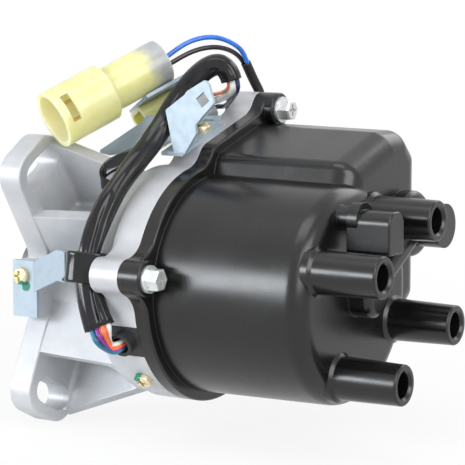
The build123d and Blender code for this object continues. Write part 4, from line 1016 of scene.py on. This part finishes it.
class DISTRIBUTOR_OT_straps(bpy.types.Operator):
    """Make the two dipped straps that hold the sleeve to the brackets"""

    bl_idname = "distributor.straps"
    bl_label = "Straps"

    def execute(self, context):
        settings = context.scene.distributor_harness
        material = soft_black_finish("dipped_rubber", settings.black, roughness=0.10, pinch=0.00003)
        thickness = settings.strap_thickness
        held = nearest_station(sleeve_stations(), SIDE_STRAP_CENTRE)
        centre = held.place / MILLIMETRE
        around = [centre + held.side * across + held.up * back for across, back in SIDE_STRAP_OUTLINE]
        side_route = (SIDE_ARM_END + SIDE_ARM_LAP, SIDE_ARM_END, *around)
        for name, route, across, width in (
            ("side_strap", side_route, held.along, SIDE_STRAP_WIDTH),
            ("upper_strap", UPPER_STRAP_ROUTE, UPPER_STRAP_ACROSS, UPPER_STRAP_WIDTH),
        ):
            outline = band_section(width * MILLIMETRE, thickness, thickness * ROLL_SHARE)
            mesh = strap_mesh(f"{name}_rubber", line_points(route), across, outline)
            piece = new_piece(f"{name}_rubber", mesh, material)
            smooth = piece.modifiers.new("smooth", "SUBSURF")
            smooth.levels = 1
            smooth.render_levels = 1
            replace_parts(piece, name)
        return {"FINISHED"}


class DISTRIBUTOR_OT_studio(bpy.types.Operator):
    """Make the floor, the lamps, the white surroundings and the camera"""

    bl_idname = "distributor.studio"
    bl_label = "Studio"

    def execute(self, context):
        settings = context.scene.distributor_studio
        scene = context.scene
        self.make_floor(settings)
        centre = (LOWEST + HIGHEST) / 2
        for lamp in (
            Lamp("overhead_lamp", settings.key, (0.05, -0.30, 0.95), 0.80, 0.45, WHITE),
            Lamp("left_lamp", settings.side, (-0.53, -0.95, 0.21), 0.70, 0.30, COOL_WHITE),
            Lamp("right_lamp", settings.right, (1.00, -0.50, 0.50), 0.80, 0.80, WHITE),
            Lamp("rear_lamp", settings.back, (0.2, 0.9, 0.7), 0.80, 0.50, WHITE),
        ):
            self.make_lamp(scene, lamp, centre)
        self.make_surroundings(scene, settings)
        camera = bpy.data.objects.new("camera", bpy.data.cameras.new("camera"))
        camera.data.sensor_width = SENSOR_WIDTH
        camera.data.lens = CAMERA_LENS
        camera.data.clip_end = FAR_CLIP
        camera.location = CAMERA_PLACE
        camera.rotation_mode = "QUATERNION"
        camera.rotation_quaternion = CAMERA_AIM.to_track_quat("-Z", "Y")
        scene.collection.objects.link(camera)
        scene.camera = camera
        scene.view_settings.view_transform = "Standard"
        return {"FINISHED"}

    def make_lamp(self, scene, lamp, centre):
        """A rectangular lamp that faces the object's centre."""
        data = bpy.data.lights.new(lamp.name, "AREA")
        data.energy = lamp.power
        data.shape = "RECTANGLE"
        data.size = lamp.width
        data.size_y = lamp.height
        data.color = lamp.tone
        light = bpy.data.objects.new(lamp.name, data)
        light.location = centre + Vector(lamp.place)
        light.rotation_mode = "QUATERNION"
        light.rotation_quaternion = (centre - light.location).to_track_quat("-Z", "Y")
        scene.collection.objects.link(light)

    def make_floor(self, settings):
        """A pale floor that keeps the object's shadow and looks white further out."""
        form = bmesh.new()
        bmesh.ops.create_grid(form, x_segments=4, y_segments=4, size=FLOOR_REACH)
        mesh = bpy.data.meshes.new("floor")
        form.to_mesh(mesh)
        form.free()
        floor = bpy.data.objects.new("floor", mesh)
        floor.location.z = LOWEST.z
        bpy.context.scene.collection.objects.link(floor)
        finish = Finish("pale_floor")
        finish.set(Base_Color=settings.floor, Roughness=0.8, Specular_IOR_Level=0.2)
        glow = finish.add("ShaderNodeEmission")
        light_path = finish.add("ShaderNodeLightPath")
        rays = light_path.outputs
        seen = finish.combine("MAXIMUM", rays["Is Camera Ray"], rays["Is Glossy Ray"])
        middle = finish.distance((0.0, 0.0, 0.0))
        fade = finish.span(middle, GLOW_START, GLOW_END, GLOW_LOW, GLOW_FULL)
        mix = finish.add("ShaderNodeMixShader")
        finish.feed(mix.inputs[0], finish.combine("MULTIPLY", seen, fade))
        finish.links.new(finish.shader.outputs[0], mix.inputs[1])
        finish.links.new(glow.outputs[0], mix.inputs[2])
        finish.links.new(mix.outputs[0], finish.nodes["Material Output"].inputs["Surface"])
        mesh.materials.append(finish.material)

    def make_surroundings(self, scene, settings):
        """A dim white room that the camera and reflections see as plain white."""
        world = bpy.data.worlds.new("white_room")
        world.use_nodes = True
        scene.world = world
        nodes = world.node_tree.nodes
        links = world.node_tree.links
        room = nodes["Background"]
        room.inputs["Color"].default_value = (1.0, 1.0, 1.0, 1.0)
        room.inputs["Strength"].default_value = settings.ambient
        backdrop = nodes.new("ShaderNodeBackground")
        backdrop.inputs["Color"].default_value = (1.0, 1.0, 1.0, 1.0)
        backdrop.inputs["Strength"].default_value = 1.0
        light_path = nodes.new("ShaderNodeLightPath")
        seen = light_path.outputs["Is Camera Ray"]
        for ray in ("Is Glossy Ray", "Is Transmission Ray"):
            either = nodes.new("ShaderNodeMath")
            either.operation = "MAXIMUM"
            links.new(seen, either.inputs[0])
            links.new(light_path.outputs[ray], either.inputs[1])
            seen = either.outputs[0]
        mix = nodes.new("ShaderNodeMixShader")
        links.new(seen, mix.inputs[0])
        links.new(room.outputs[0], mix.inputs[1])
        links.new(backdrop.outputs[0], mix.inputs[2])
        links.new(mix.outputs[0], nodes["World Output"].inputs["Surface"])


class DISTRIBUTOR_PT_panel(bpy.types.Panel):
    """The distributor's pieces, with their sizes and colours"""

    bl_idname = "DISTRIBUTOR_PT_panel"
    bl_label = "Ignition Distributor"
    bl_space_type = "VIEW_3D"
    bl_region_type = "UI"
    bl_category = "Distributor"

    def draw(self, context):
        layout = self.layout
        for operator in OPERATORS:
            layout.operator(operator.bl_idname)
        for key, group in SETTINGS:
            box = layout.box()
            values = getattr(context.scene, key)
            for name in group.__annotations__:
                box.prop(values, name)


SETTINGS = (
    ("distributor_casting", CastingSettings),
    ("distributor_cap", CapSettings),
    ("distributor_metal", MetalSettings),
    ("distributor_connectors", ConnectorSettings),
    ("distributor_harness", HarnessSettings),
    ("distributor_studio", StudioSettings),
)
OPERATORS = (
    DISTRIBUTOR_OT_casting,
    DISTRIBUTOR_OT_cap,
    DISTRIBUTOR_OT_metalwork,
    DISTRIBUTOR_OT_inner_parts,
    DISTRIBUTOR_OT_connectors,
    DISTRIBUTOR_OT_sleeve,
    DISTRIBUTOR_OT_leads,
    DISTRIBUTOR_OT_wires,
    DISTRIBUTOR_OT_straps,
    DISTRIBUTOR_OT_studio,
)
CLASSES = (*(group for key, group in SETTINGS), *OPERATORS, DISTRIBUTOR_PT_panel)


def register():
    for entry in CLASSES:
        bpy.utils.register_class(entry)
    for key, group in SETTINGS:
        setattr(bpy.types.Scene, key, PointerProperty(type=group))


def unregister():
    for key, group in SETTINGS:
        delattr(bpy.types.Scene, key)
    for entry in reversed(CLASSES):
        bpy.utils.unregister_class(entry)


def main():
    register()
    for operator in OPERATORS:
        family, name = operator.bl_idname.split(".")
        getattr(getattr(bpy.ops, family), name)()
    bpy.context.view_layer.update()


if __name__ == "__main__":
    main()
